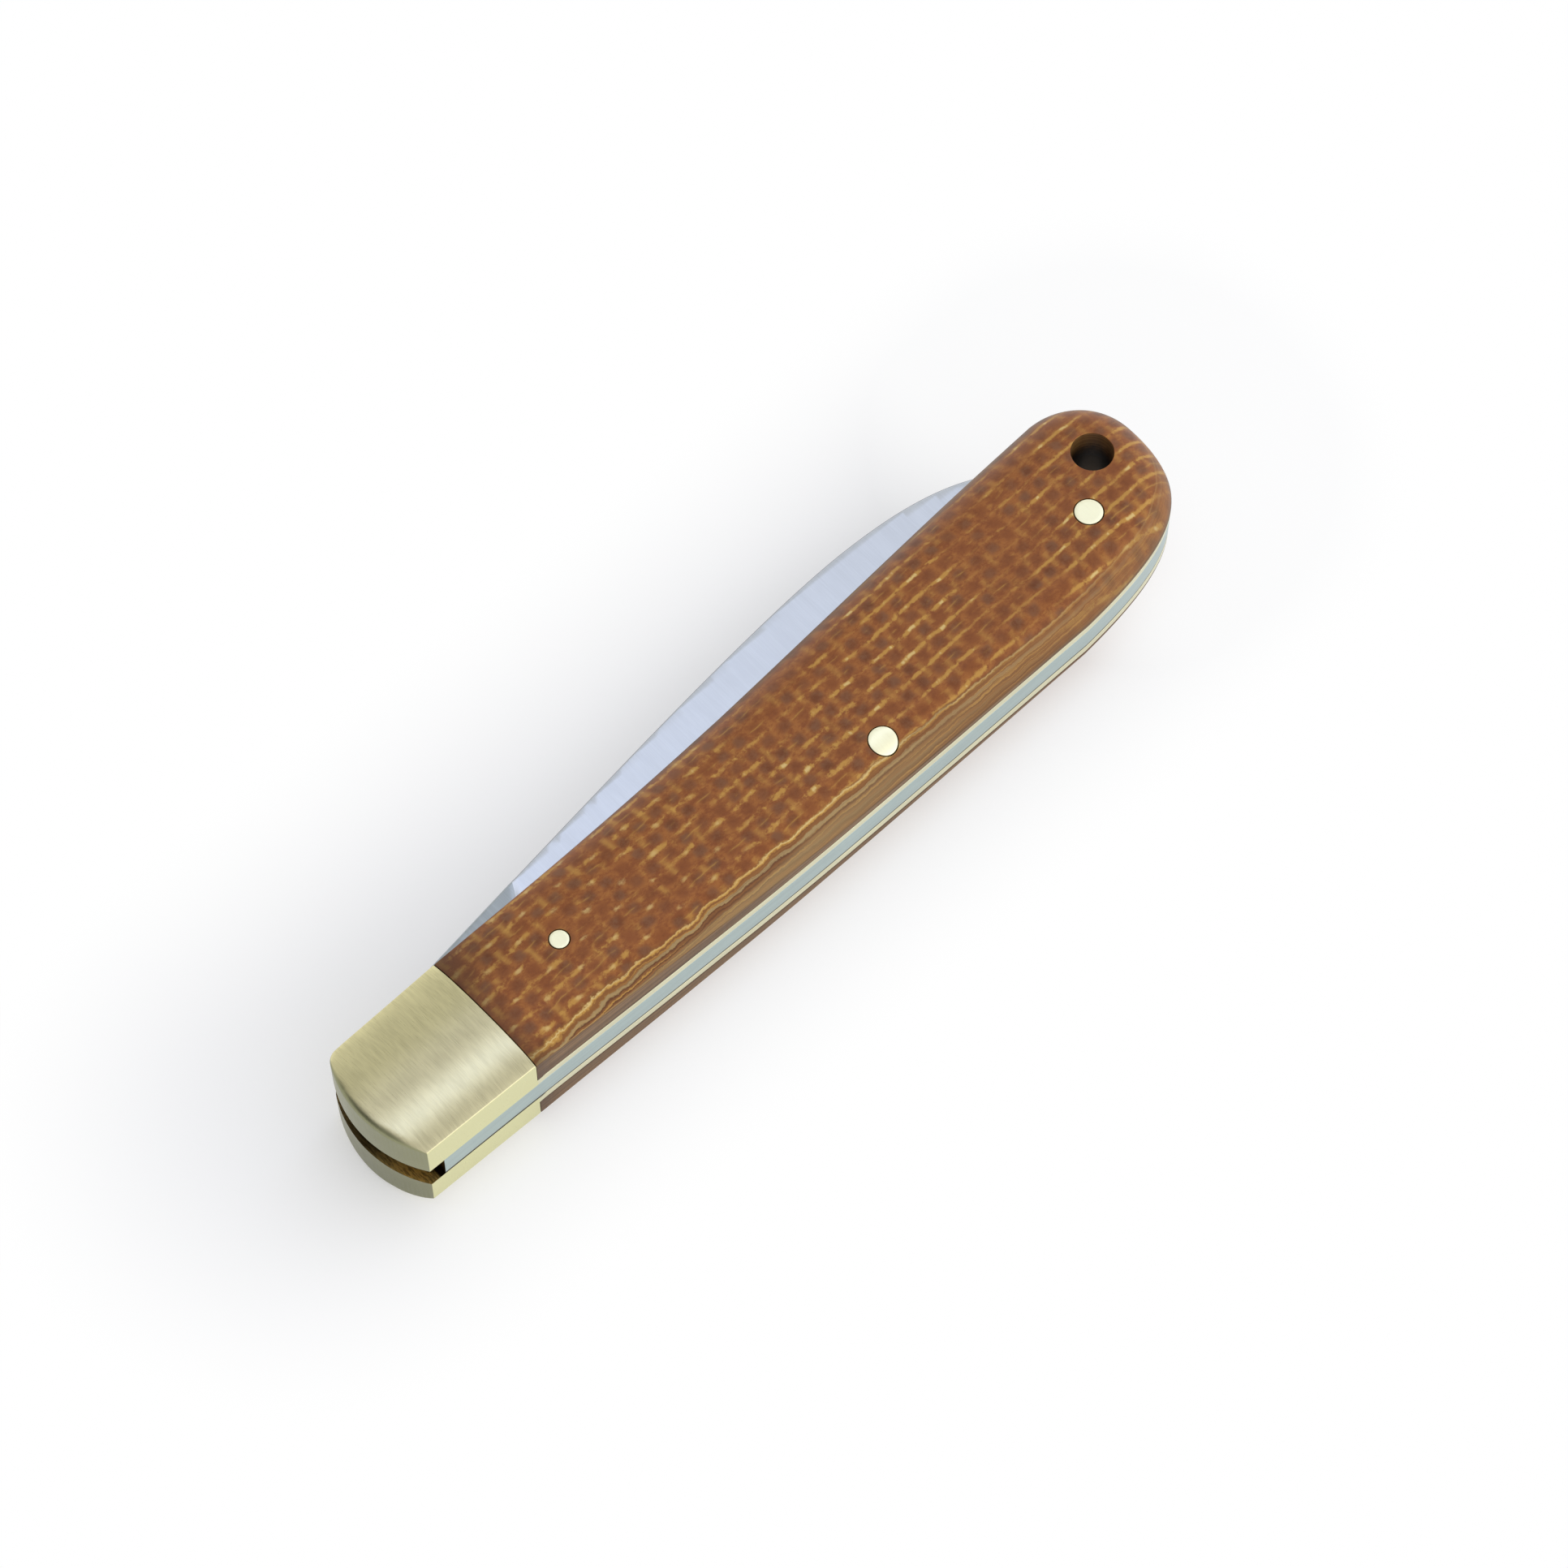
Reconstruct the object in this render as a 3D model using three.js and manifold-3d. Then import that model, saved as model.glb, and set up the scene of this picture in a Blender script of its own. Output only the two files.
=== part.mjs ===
// A slip-joint folding pocket knife, lying closed on its flat side.
// +X runs along the handle to the butt, +Y to the slot that the blade folds out of, +Z up.
// The origin is the middle of the knife's bounding box, on the surface it lies on.
import * as THREE from 'three';
import { mergeVertices } from 'three/addons/utils/BufferGeometryUtils.js';
import Module from 'manifold-3d';

const wasm = await Module();
wasm.setup();

// Driving dimensions, in millimetres and degrees

// Layers, from the lower cover up
const coverThickness = 4.2;
const linerThickness = 1.0;
const springThickness = 3.0;
const bladeSidePlay = 0.05;

// Plan of the handle
const handleLength = 111.1;
const bolsterLength = 16.0;
const backDepth = 12.4;
const frontBackDepth = 11.2;
const seamBackDepth = 11.55;
const foreBackDepth = 12.1;
const rearBackDepth = 12.0;
const frontSlotReach = 3.0;
const seamSlotReach = 3.55;
const foreSlotReach = 4.25;
const middleSlotReach = 5.5;
const rearSlotReach = 8.2;
const rearSlotFromButt = 22.8;
const buttSlotReach = 9.2;
const frontArcRadius = 13.05;
const frontArcCentreY = -4.0;
const frontSlotCornerRadius = 1.8;
const buttNoseY = 1.75;
const buttUpperLength = 7.9;
const buttNoseFullness = 0.56;
const buttSlotFullness = 0.58;
const buttLowerLength = 19.9;
const buttCornerInset = 5.2;
const buttCornerRise = 1.05;
const buttCornerDepth = 8.05;

// Crown of the covers: a straight side face, a crease, then part of an ellipse up to the flat
const crownWidth = 4.8;
const crownStartAngle = 30;
const upperSideFace = 3.2;
const lowerSideFace = 2.5;
const middleSideFace = 1.2;
const buttSideFace = 0.3;
const bolsterFrontRound = 0.8;

// Pins and the lanyard hole
const pivotFromFront = 8.0;
const pivotY = -3.4;
const pivotPinDiameter = 3.0;
const springPinDiameter = 3.0;
const middlePinFromFront = 65.1;
const middlePinFromBack = 3.65;
const endPinFromButt = 12.1;
const endPinY = -3.9;
const coverPinDiameter = 2.0;
const coverPinFromSeam = 10.55;
const coverPinY = -3.2;
const lanyardHoleDiameter = 4.5;
const lanyardHoleFromButt = 6.7;
const lanyardHoleY = 1.0;
const pinFit = 0.04;
const pivotPlay = 0.05;

// Tang, a square cam about the pivot, and the spring's nose on it
const camHalfWidth = 4.2;
const camCornerRadius = 1.2;
const noseReach = 4.0;
const noseClearance = 0.05;
const kickReach = 8.8;
const choilWidth = 2.3;

// Blade, measured in the closed knife
const spineAtHeel = 4.7;
const spineAtPlunge = 6.95;
const plungeFromSeam = 12.5;
const spineRiseRun = 17.0;
const spineRise = 2.3;
const spineHigh = 12.4;
const spineHighFromButt = 31.6;
const spineCrestAhead = 11.0;
const spineCrestBehind = 10.3;
const tipY = 6.5;
const tipFromButt = 10.4;
const tipSlopeRun = 4.2;
const tipSlopeRise = 4.3;
const edgeY = -5.6;
const edgeStraightFromButt = 35.8;
const bellyFromTip = 8.4;
const edgeHalfThickness = 0.12;
const groundSpineHalfThickness = 1.3;
const tipHalfThickness = 0.55;
const tipWidth = 0.4;

// Inner edge of the spring
const springToBlade = 0.8;
const springEndShare = 0.7;

// Fineness of the curves
const circleSegments = 32;
const crownSteps = 6;
const edgeSteps = 14;
const buttSteps = 14;
const bladeSteps = 26;
const springSteps = 24;
const cornerSteps = 6;
const roundSteps = 4;

// Places worked out from the sizes above
const frontX = -handleLength / 2;
const buttX = handleLength / 2;
const seamX = frontX + bolsterLength;
const lowerLinerZ = coverThickness;
const springZ = lowerLinerZ + linerThickness;
const upperLinerZ = springZ + springThickness;
const upperCoverZ = upperLinerZ + linerThickness;
const totalThickness = upperCoverZ + coverThickness;
const pivot = new THREE.Vector2(frontX + pivotFromFront, pivotY);
const middlePin = new THREE.Vector2(frontX + middlePinFromFront, middlePinFromBack - backDepth);
const endPin = new THREE.Vector2(buttX - endPinFromButt, endPinY);
const coverPin = new THREE.Vector2(seamX + coverPinFromSeam, coverPinY);
const lanyardHole = new THREE.Vector2(buttX - lanyardHoleFromButt, lanyardHoleY);
const noseX = pivot.x - noseReach;
const noseY = pivot.y - camHalfWidth;
const foreX = seamX / 2;
const rearX = buttX - rearSlotFromButt;
const overrun = 3;
const reach = handleLength;

// Solids

// Turns a closed geometry into a solid that can be joined and cut
function solid(geometry) {
  const bare = geometry.index ? geometry.toNonIndexed() : geometry.clone();
  bare.deleteAttribute('normal');
  bare.deleteAttribute('uv');
  const merged = mergeVertices(bare, 1e-5);
  const mesh = new wasm.Mesh({
    numProp: 3,
    vertProperties: new Float32Array(merged.attributes.position.array),
    triVerts: new Uint32Array(merged.index.array),
  });
  return new wasm.Manifold(mesh);
}

// A flat plate with the given outline, between two heights
function plate(points, bottom, top) {
  const shape = new THREE.Shape(points);
  const geometry = new THREE.ExtrudeGeometry(shape, { depth: top - bottom, bevelEnabled: false });
  geometry.translate(0, 0, bottom);
  return solid(geometry);
}

function block(minX, minY, minZ, maxX, maxY, maxZ) {
  const geometry = new THREE.BoxGeometry(maxX - minX, maxY - minY, maxZ - minZ);
  geometry.translate((minX + maxX) / 2, (minY + maxY) / 2, (minZ + maxZ) / 2);
  return solid(geometry);
}

// An upright cylinder that stands well past the knife on both sides
function bar(centre, diameter) {
  const radius = diameter / 2;
  const geometry = new THREE.CylinderGeometry(radius, radius, reach, circleSegments);
  geometry.rotateX(Math.PI / 2);
  geometry.translate(centre.x, centre.y, totalThickness / 2);
  return solid(geometry);
}

// A skin over rings that hold the same number of points, closed by a cap at each end
function closedLoft(rings, flatten) {
  const count = rings[0].length;
  const first = rings[0];
  const last = rings[rings.length - 1];
  const triangles = [];
  for (let k = 0; k + 1 < rings.length; k += 1) {
    for (let i = 0; i < count; i += 1) {
      const j = (i + 1) % count;
      triangles.push(rings[k][i], rings[k][j], rings[k + 1][j]);
      triangles.push(rings[k][i], rings[k + 1][j], rings[k + 1][i]);
    }
  }
  for (const face of THREE.ShapeUtils.triangulateShape(first.map(flatten), [])) {
    triangles.push(first[face[2]], first[face[1]], first[face[0]]);
  }
  for (const face of THREE.ShapeUtils.triangulateShape(last.map(flatten), [])) {
    triangles.push(last[face[0]], last[face[1]], last[face[2]]);
  }
  const geometry = new THREE.BufferGeometry().setFromPoints(triangles);
  return solid(geometry);
}

// Plan of the handle, as points from the front along the back, round the butt and back
// along the slot. Both long edges run on past the front, where the front arc cuts them.

const backEdge = new THREE.SplineCurve([
  new THREE.Vector2(frontX - overrun, -frontBackDepth),
  new THREE.Vector2(seamX, -seamBackDepth),
  new THREE.Vector2(foreX, -foreBackDepth),
  new THREE.Vector2(0, -backDepth),
  new THREE.Vector2(buttX - buttLowerLength, -rearBackDepth),
]);
const buttLower = new THREE.CubicBezierCurve(
  new THREE.Vector2(buttX - buttLowerLength, -rearBackDepth),
  new THREE.Vector2(buttX - buttCornerInset, buttCornerRise - rearBackDepth),
  new THREE.Vector2(buttX, -buttCornerDepth),
  new THREE.Vector2(buttX, buttNoseY),
);
const buttUpper = new THREE.CubicBezierCurve(
  new THREE.Vector2(buttX, buttNoseY),
  new THREE.Vector2(buttX, THREE.MathUtils.lerp(buttNoseY, buttSlotReach, buttNoseFullness)),
  new THREE.Vector2(buttX - buttUpperLength * (1 - buttSlotFullness), buttSlotReach),
  new THREE.Vector2(buttX - buttUpperLength, buttSlotReach),
);
const slotEdge = new THREE.SplineCurve([
  new THREE.Vector2(buttX - buttUpperLength, buttSlotReach),
  new THREE.Vector2(rearX, rearSlotReach),
  new THREE.Vector2(0, middleSlotReach),
  new THREE.Vector2(foreX, foreSlotReach),
  new THREE.Vector2(seamX, seamSlotReach),
  new THREE.Vector2(frontX - overrun, frontSlotReach),
]);
const outline = [
  ...backEdge.getPoints(edgeSteps),
  ...buttLower.getPoints(buttSteps).slice(1),
  ...buttUpper.getPoints(buttSteps).slice(1),
  ...slotEdge.getPoints(edgeSteps).slice(1),
];

// Inward direction at each point of the outline; the front corners turn in square
function inward(points, i) {
  if (i === 0) return new THREE.Vector2(0, 1);
  if (i === points.length - 1) return new THREE.Vector2(0, -1);
  const along = points[i + 1].clone().sub(points[i - 1]).normalize();
  return new THREE.Vector2(-along.y, along.x);
}

// Height of the straight side face, which is tall at the bolster and low at the butt
function sideFaceAt(x, atSeam) {
  if (x < 0) return THREE.MathUtils.mapLinear(Math.max(x, seamX), seamX, 0, atSeam, middleSideFace);
  return THREE.MathUtils.mapLinear(x, 0, buttX, middleSideFace, buttSideFace);
}

// A cover plate with a crowned outer face, its inner face at z = 0
function crownedPlate(sideFace) {
  const rings = [outline.map((p) => new THREE.Vector3(p.x, p.y, 0))];
  const start = THREE.MathUtils.degToRad(crownStartAngle);
  for (let k = 0; k <= crownSteps; k += 1) {
    const angle = THREE.MathUtils.lerp(start, Math.PI / 2, k / crownSteps);
    const inset = crownWidth * (1 - Math.cos(angle) / Math.cos(start));
    const rise = (Math.sin(angle) - Math.sin(start)) / (1 - Math.sin(start));
    rings.push(outline.map((p, i) => {
      const side = sideFaceAt(p.x, sideFace);
      const place = p.clone().addScaledVector(inward(outline, i), inset);
      return new THREE.Vector3(place.x, place.y, THREE.MathUtils.lerp(side, coverThickness, rise));
    }));
  }
  return closedLoft(rings, (p) => new THREE.Vector2(p.x, p.y));
}

// Everything behind the round front end, with the small round corner at the slot
function frontEnd(bottom, top, round) {
  const centreX = frontX + frontArcRadius;
  const radius = frontArcRadius - round;
  const cornerRadius = frontSlotCornerRadius - round;
  const cornerY = frontSlotReach - frontSlotCornerRadius;
  const cornerAngle = Math.PI - Math.asin(
    (cornerY - frontArcCentreY) / (frontArcRadius - frontSlotCornerRadius),
  );
  const cornerX = centreX + (frontArcRadius - frontSlotCornerRadius) * Math.cos(cornerAngle);
  const shape = new THREE.Shape();
  shape.moveTo(buttX + reach, reach);
  shape.lineTo(cornerX, reach);
  shape.lineTo(cornerX, cornerY + cornerRadius);
  shape.absarc(cornerX, cornerY, cornerRadius, Math.PI / 2, cornerAngle, false);
  shape.absarc(centreX, frontArcCentreY, radius, cornerAngle, Math.PI * 1.5, false);
  shape.lineTo(buttX + reach, frontArcCentreY - radius);
  const geometry = new THREE.ExtrudeGeometry(shape, {
    depth: top - bottom - round,
    bevelEnabled: round > 0,
    bevelThickness: round,
    bevelSize: round,
    bevelSegments: roundSteps,
    curveSegments: circleSegments,
  });
  geometry.translate(0, 0, bottom);
  return solid(geometry);
}

// The two covers of one side: bolster in front of the seam, scale behind it
function coverPair(sideFace) {
  const whole = crownedPlate(sideFace);
  const ahead = block(-reach, -reach, -overrun, seamX, reach, reach);
  const behind = block(seamX, -reach, -overrun, reach, reach, reach);
  const rounded = frontEnd(-overrun, coverThickness, bolsterFrontRound);
  return {
    bolster: whole.intersect(ahead).intersect(rounded),
    scale: whole.intersect(behind),
  };
}

const upright = (piece) => piece.translate([0, 0, upperCoverZ]);
const turnedDown = (piece) => piece.scale([1, 1, -1]).translate([0, 0, lowerLinerZ]);
const upperPair = coverPair(upperSideFace);
const lowerPair = coverPair(lowerSideFace);
const covers = {
  upperBolster: upright(upperPair.bolster),
  upperScale: upright(upperPair.scale),
  lowerBolster: turnedDown(lowerPair.bolster),
  lowerScale: turnedDown(lowerPair.scale),
};

function linerBlank(bottom) {
  const front = frontEnd(bottom - overrun, bottom + linerThickness + overrun, 0);
  return plate(outline, bottom, bottom + linerThickness).intersect(front);
}

// The knife's whole outer form, which the pins are ground flush with. Its core reaches a
// little into the covers, within their straight side faces, so that it is one solid.
const coreReach = buttSideFace / 2;
const envelope = [
  upright(crownedPlate(upperSideFace)),
  turnedDown(crownedPlate(lowerSideFace)),
].reduce((sum, piece) => sum.add(piece), plate(outline, lowerLinerZ - coreReach, upperCoverZ + coreReach));

function holes(list) {
  return list
    .map(({ centre, diameter }) => bar(centre, diameter))
    .reduce((sum, piece) => sum.add(piece));
}

const pivotHole = { centre: pivot, diameter: pivotPinDiameter + pinFit * 2 };
const middleHole = { centre: middlePin, diameter: springPinDiameter + pinFit * 2 };
const endHole = { centre: endPin, diameter: springPinDiameter + pinFit * 2 };
const coverPinHole = { centre: coverPin, diameter: coverPinDiameter + pinFit * 2 };
const lanyardBore = { centre: lanyardHole, diameter: lanyardHoleDiameter };
const scaleHoles = holes([middleHole, endHole, coverPinHole, lanyardBore]);
const linerHoles = holes([pivotHole, middleHole, endHole, coverPinHole, lanyardBore]);
const bolsterHoles = holes([pivotHole]);
const springHoles = holes([middleHole, endHole, lanyardBore]);

// Blade: a square tang and a flat ricasso of full thickness, then the ground body

const heel = new THREE.Vector2(pivot.x + noseReach + noseClearance, spineAtHeel);
const plungeAtSpine = new THREE.Vector2(seamX + plungeFromSeam, spineAtPlunge);
const plungeAtEdge = new THREE.Vector2(pivot.x + kickReach + choilWidth, edgeY);
const tip = new THREE.Vector2(buttX - tipFromButt, tipY);
const crest = new THREE.Vector2(buttX - spineHighFromButt, spineHigh);
const spineCurve = new THREE.CurvePath();
spineCurve.add(new THREE.CubicBezierCurve(
  plungeAtSpine,
  new THREE.Vector2(plungeAtSpine.x + spineRiseRun, plungeAtSpine.y + spineRise),
  new THREE.Vector2(crest.x - spineCrestAhead, crest.y),
  crest,
));
spineCurve.add(new THREE.CubicBezierCurve(
  crest,
  new THREE.Vector2(crest.x + spineCrestBehind, crest.y),
  new THREE.Vector2(tip.x - tipSlopeRun, tip.y + tipSlopeRise),
  tip,
));
const edgeCurve = new THREE.CubicBezierCurve(
  plungeAtEdge,
  new THREE.Vector2(buttX - edgeStraightFromButt, edgeY),
  new THREE.Vector2(tip.x - bellyFromTip, edgeY),
  new THREE.Vector2(tip.x, tip.y - tipWidth),
);

function tangPoints() {
  const shape = new THREE.Shape();
  const half = camHalfWidth;
  const corner = camCornerRadius;
  shape.moveTo(pivot.x + kickReach, pivot.y - half + noseClearance);
  shape.quadraticCurveTo(pivot.x + kickReach, plungeAtEdge.y, plungeAtEdge.x, plungeAtEdge.y);
  shape.lineTo(plungeAtSpine.x, plungeAtSpine.y);
  shape.lineTo(heel.x, heel.y);
  shape.lineTo(heel.x, pivot.y + half - noseClearance);
  const inner = half - noseClearance - corner;
  shape.absarc(pivot.x - inner, pivot.y + inner, corner, Math.PI / 2, Math.PI, false);
  shape.absarc(pivot.x - inner, pivot.y - inner, corner, Math.PI, Math.PI * 1.5, false);
  return shape.getPoints(cornerSteps);
}

function bladeBody() {
  const middleZ = springZ + springThickness / 2;
  const rings = [];
  for (let k = 0; k <= bladeSteps; k += 1) {
    const share = k / bladeSteps;
    const spine = spineCurve.getPoint(share);
    const edge = edgeCurve.getPoint(share);
    const half = THREE.MathUtils.lerp(groundSpineHalfThickness, tipHalfThickness, share ** 2);
    rings.push([
      new THREE.Vector3(edge.x, edge.y, middleZ - edgeHalfThickness),
      new THREE.Vector3(spine.x, spine.y, middleZ - half),
      new THREE.Vector3(spine.x, spine.y, middleZ + half),
      new THREE.Vector3(edge.x, edge.y, middleZ + edgeHalfThickness),
    ]);
  }
  return closedLoft(rings, (p) => new THREE.Vector2(p.y, p.z));
}

function blade() {
  const tang = plate(tangPoints(), springZ + bladeSidePlay, upperLinerZ - bladeSidePlay);
  const pivotBore = bar(pivot, pivotPinDiameter + pivotPlay * 2);
  return tang.add(bladeBody()).subtract(pivotBore);
}

// Backspring: flush with the back, thin at the nose, then clear of the blade's edge up to the
// butt, which it fills round the lanyard hole
function backspring() {
  const buttArc = buttUpper.getPoints(buttSteps).slice(1, Math.round(buttSteps * springEndShare) + 1);
  const innerEdge = [];
  for (let k = springSteps; k > 0; k -= 1) {
    const along = edgeCurve.getTangent(k / springSteps);
    const away = new THREE.Vector2(along.y, -along.x);
    const place = edgeCurve.getPoint(k / springSteps).addScaledVector(away, springToBlade);
    if (place.x > middlePin.x) innerEdge.push(place);
  }
  const blank = plate([
    ...backEdge.getPoints(edgeSteps),
    ...buttLower.getPoints(buttSteps).slice(1),
    ...buttArc,
    ...innerEdge,
    new THREE.Vector2(plungeAtEdge.x, noseY),
    new THREE.Vector2(frontX - overrun, noseY),
  ], springZ, upperLinerZ);
  const kept = block(noseX, -reach, 0, reach, reach, totalThickness);
  return blank.intersect(kept).subtract(springHoles);
}

// A pin through the knife, its ends ground to the outer form
function pin(centre, diameter, bottom, top) {
  const slab = block(-reach, -reach, bottom, reach, reach, top);
  return bar(centre, diameter).intersect(slab).intersect(envelope);
}

// Materials and the named pieces

function finish(color, metalness, roughness) {
  return new THREE.MeshStandardMaterial({ color, metalness, roughness });
}

const brass = finish(0xd9cf9e, 1, 0.35);
const pinMetal = finish(0xf0ead0, 1, 0.3);
const steel = finish(0xc4cbdb, 1, 0.3);
const springSteel = finish(0xaabbc3, 1, 0.35);
const laminate = finish(0x8a4f28, 0, 0.4);

const knife = new THREE.Group();

function place(name, piece, material) {
  const { numProp, vertProperties, triVerts } = piece.getMesh();
  const geometry = new THREE.BufferGeometry();
  const positions = new Float32Array(triVerts.length * 3);
  triVerts.forEach((vertex, i) => {
    for (let axis = 0; axis < 3; axis += 1) {
      positions[i * 3 + axis] = vertProperties[vertex * numProp + axis];
    }
  });
  geometry.setAttribute('position', new THREE.BufferAttribute(positions, 3));
  geometry.computeVertexNormals();
  const mesh = new THREE.Mesh(geometry, material);
  mesh.name = name;
  knife.add(mesh);
}

place('lower_scale', covers.lowerScale.subtract(scaleHoles), laminate);
place('upper_scale', covers.upperScale.subtract(scaleHoles), laminate);
place('lower_bolster', covers.lowerBolster.subtract(bolsterHoles), brass);
place('upper_bolster', covers.upperBolster.subtract(bolsterHoles), brass);
place('lower_liner', linerBlank(lowerLinerZ).subtract(linerHoles), brass);
place('upper_liner', linerBlank(upperLinerZ).subtract(linerHoles), brass);
place('backspring', backspring(), springSteel);
place('blade', blade(), steel);
place('pivot_pin', pin(pivot, pivotPinDiameter, -overrun, reach), brass);
place('middle_spring_pin', pin(middlePin, springPinDiameter, -overrun, reach), pinMetal);
place('end_spring_pin', pin(endPin, springPinDiameter, -overrun, reach), pinMetal);
place('upper_scale_pin', pin(coverPin, coverPinDiameter, upperLinerZ, reach), pinMetal);
place('lower_scale_pin', pin(coverPin, coverPinDiameter, -overrun, springZ), pinMetal);

export default knife;
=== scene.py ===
import math
from functools import partialmethod
from types import SimpleNamespace

import bmesh
import bpy
import numpy as np
from bpy.props import FloatProperty, FloatVectorProperty, PointerProperty
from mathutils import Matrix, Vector
from mathutils.geometry import delaunay_2d_cdt


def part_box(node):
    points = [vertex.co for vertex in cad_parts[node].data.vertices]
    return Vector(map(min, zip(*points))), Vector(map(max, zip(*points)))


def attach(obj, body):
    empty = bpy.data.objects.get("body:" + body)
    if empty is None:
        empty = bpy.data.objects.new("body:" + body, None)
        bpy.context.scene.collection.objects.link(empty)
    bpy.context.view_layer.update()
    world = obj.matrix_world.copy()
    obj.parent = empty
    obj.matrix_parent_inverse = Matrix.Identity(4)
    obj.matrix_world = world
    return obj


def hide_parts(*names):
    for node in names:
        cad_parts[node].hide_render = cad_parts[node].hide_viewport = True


bl_info = {
    "name": "Folding Pocket Knife",
    "version": (1, 0, 0),
    "blender": (4, 5, 0),
    "location": "View3D > Sidebar > Knife",
    "description": "Builds a closed pocket knife with woven laminate scales and brushed brass bolsters",
    "category": "Object",
}

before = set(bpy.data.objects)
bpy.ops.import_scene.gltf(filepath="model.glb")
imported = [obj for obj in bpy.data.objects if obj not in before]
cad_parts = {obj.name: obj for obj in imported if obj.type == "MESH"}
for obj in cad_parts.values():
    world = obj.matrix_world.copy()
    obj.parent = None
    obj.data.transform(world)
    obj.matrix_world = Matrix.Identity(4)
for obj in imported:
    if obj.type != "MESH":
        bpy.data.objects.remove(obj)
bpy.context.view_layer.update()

# Shapes are worked out in millimetres and written to the meshes in metres.
MM = 1000.0


def span(node):
    """Lowest and highest corner of a frame node, in millimetres."""
    low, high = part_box(node)
    return low * MM, high * MM


def middle(node):
    """Middle of a frame node in plan, in millimetres."""
    low, high = span(node)
    return np.array([(low.x + high.x) / 2, (low.y + high.y) / 2])


# Places read from the frame
FRONT_X = span("upper_liner")[0].x
BUTT_X = span("upper_liner")[1].x
SEAM_X = span("upper_bolster")[1].x
TOP_Z = span("upper_scale")[1].z
UPPER_COVER_Z = span("upper_scale")[0].z
UPPER_LINER_Z = span("upper_liner")[0].z
SPRING_Z = span("backspring")[0].z
LOWER_LINER_Z = span("lower_liner")[0].z
MIDDLE_Z = TOP_Z / 2
NOSE_X = span("backspring")[0].x
COVER = TOP_Z - UPPER_COVER_Z
PIVOT = middle("pivot_pin")
MIDDLE_PIN = middle("middle_spring_pin")
END_PIN = middle("end_spring_pin")
SCALE_PIN = middle("upper_scale_pin")
LANYARD = np.array([BUTT_X - 6.7, 1.0])
SPRING_PIN_RADIUS = 1.5
SCALE_PIN_RADIUS = 1.0
LANYARD_RADIUS = 2.25
PIVOT_RADIUS = 1.5
PIVOT_SUNK = 0.25
# Room round the pins in the liners and the spring, and round the pivot pin in the blade
PIN_ROOM = 0.02
TANG_ROOM = 0.05
# Distance of the spring's nose from the pivot, room between the spring and the cutting edge, and
# the share of the butt's upper curve that the spring's tail follows
NOSE_REACH = 4.2
EDGE_ROOM = 0.8
TAIL_SHARE = 10 / 14

# Crown of the covers
CROWN_WIDTH = 4.8
CROWN_WIDTH_BOLSTER = 6.6
CROWN_START = math.radians(30)
SIDE_UPPER = 3.2
SIDE_LOWER = 2.5
SIDE_MIDDLE = 1.2
SIDE_BUTT = 0.3

# Fineness
CIRCLE_STEPS = 56
SHARP_ANGLE = math.radians(38)


# Curves in plan


def smooth_line(points, steps):
    """A curve through all the points, with the same number of steps between each two."""
    points = np.array(points, float)
    share = np.arange(steps)[:, None] / steps
    made = []
    for i in range(len(points) - 1):
        here, there = points[i], points[i + 1]
        leave = (there - points[max(i - 1, 0)]) / 2
        arrive = (points[min(i + 2, len(points) - 1)] - here) / 2
        cubic = 2 * here - 2 * there + leave + arrive
        square = 3 * there - 3 * here - 2 * leave - arrive
        made.append(((cubic * share + square) * share + leave) * share + here)
    return np.vstack([*made, points[-1:]])


def bezier(points, steps, part=1.0):
    """A cubic curve from the first point to the last, or the first part of it."""
    a, b, c, d = np.array(points, float)
    t = np.linspace(0, part, steps + 1)[:, None]
    return (1 - t) ** 3 * a + 3 * (1 - t) ** 2 * t * b + 3 * (1 - t) * t**2 * c + t**3 * d


def arc(centre, radius, start, end, steps):
    """Points on an arc, from one angle to another."""
    angle = np.linspace(start, end, steps + 1)
    return np.array(centre) + radius * np.stack([np.cos(angle), np.sin(angle)], 1)


def circle(centre, radius, steps=CIRCLE_STEPS):
    return arc(centre, radius, 0, 2 * math.pi, steps)[:-1]


def inward(line, closed=False):
    """Unit vectors to the left of a line, at each of its points."""
    if closed:
        along = np.roll(line, -1, 0) - np.roll(line, 1, 0)
    else:
        along = np.gradient(line, axis=0)
    along /= np.linalg.norm(along, axis=1)[:, None]
    return np.stack([-along[:, 1], along[:, 0]], 1)


def offset(line, inset, closed=False):
    """The line moved to its left by an inset, which may differ from point to point."""
    return line + inward(line, closed) * np.reshape(inset, (-1, 1))


def height_at(line, x):
    """The y of a line that runs along X, at some x."""
    order = np.argsort(line[:, 0])
    return np.interp(x, line[order, 0], line[order, 1])


def nearest(points, line, closed=False):
    """Distance from each point to a line, and the x of the nearest place on it."""
    ends = np.vstack([line, line[:1]]) if closed else line
    start, step = ends[:-1], np.diff(ends, axis=0)
    length = np.maximum((step**2).sum(1), 1e-12)
    best = np.full(len(points), 1e9)
    place = np.zeros(len(points))
    for at in range(0, len(points), 2000):
        part = points[at : at + 2000]
        share = ((part[:, None] - start) * step).sum(2) / length
        foot = start + np.clip(share, 0, 1)[..., None] * step
        away = np.linalg.norm(part[:, None] - foot, axis=2)
        pick = away.argmin(1)
        rows = np.arange(len(part))
        best[at : at + 2000] = away[rows, pick]
        place[at : at + 2000] = foot[rows, pick, 0]
    return best, place


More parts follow.
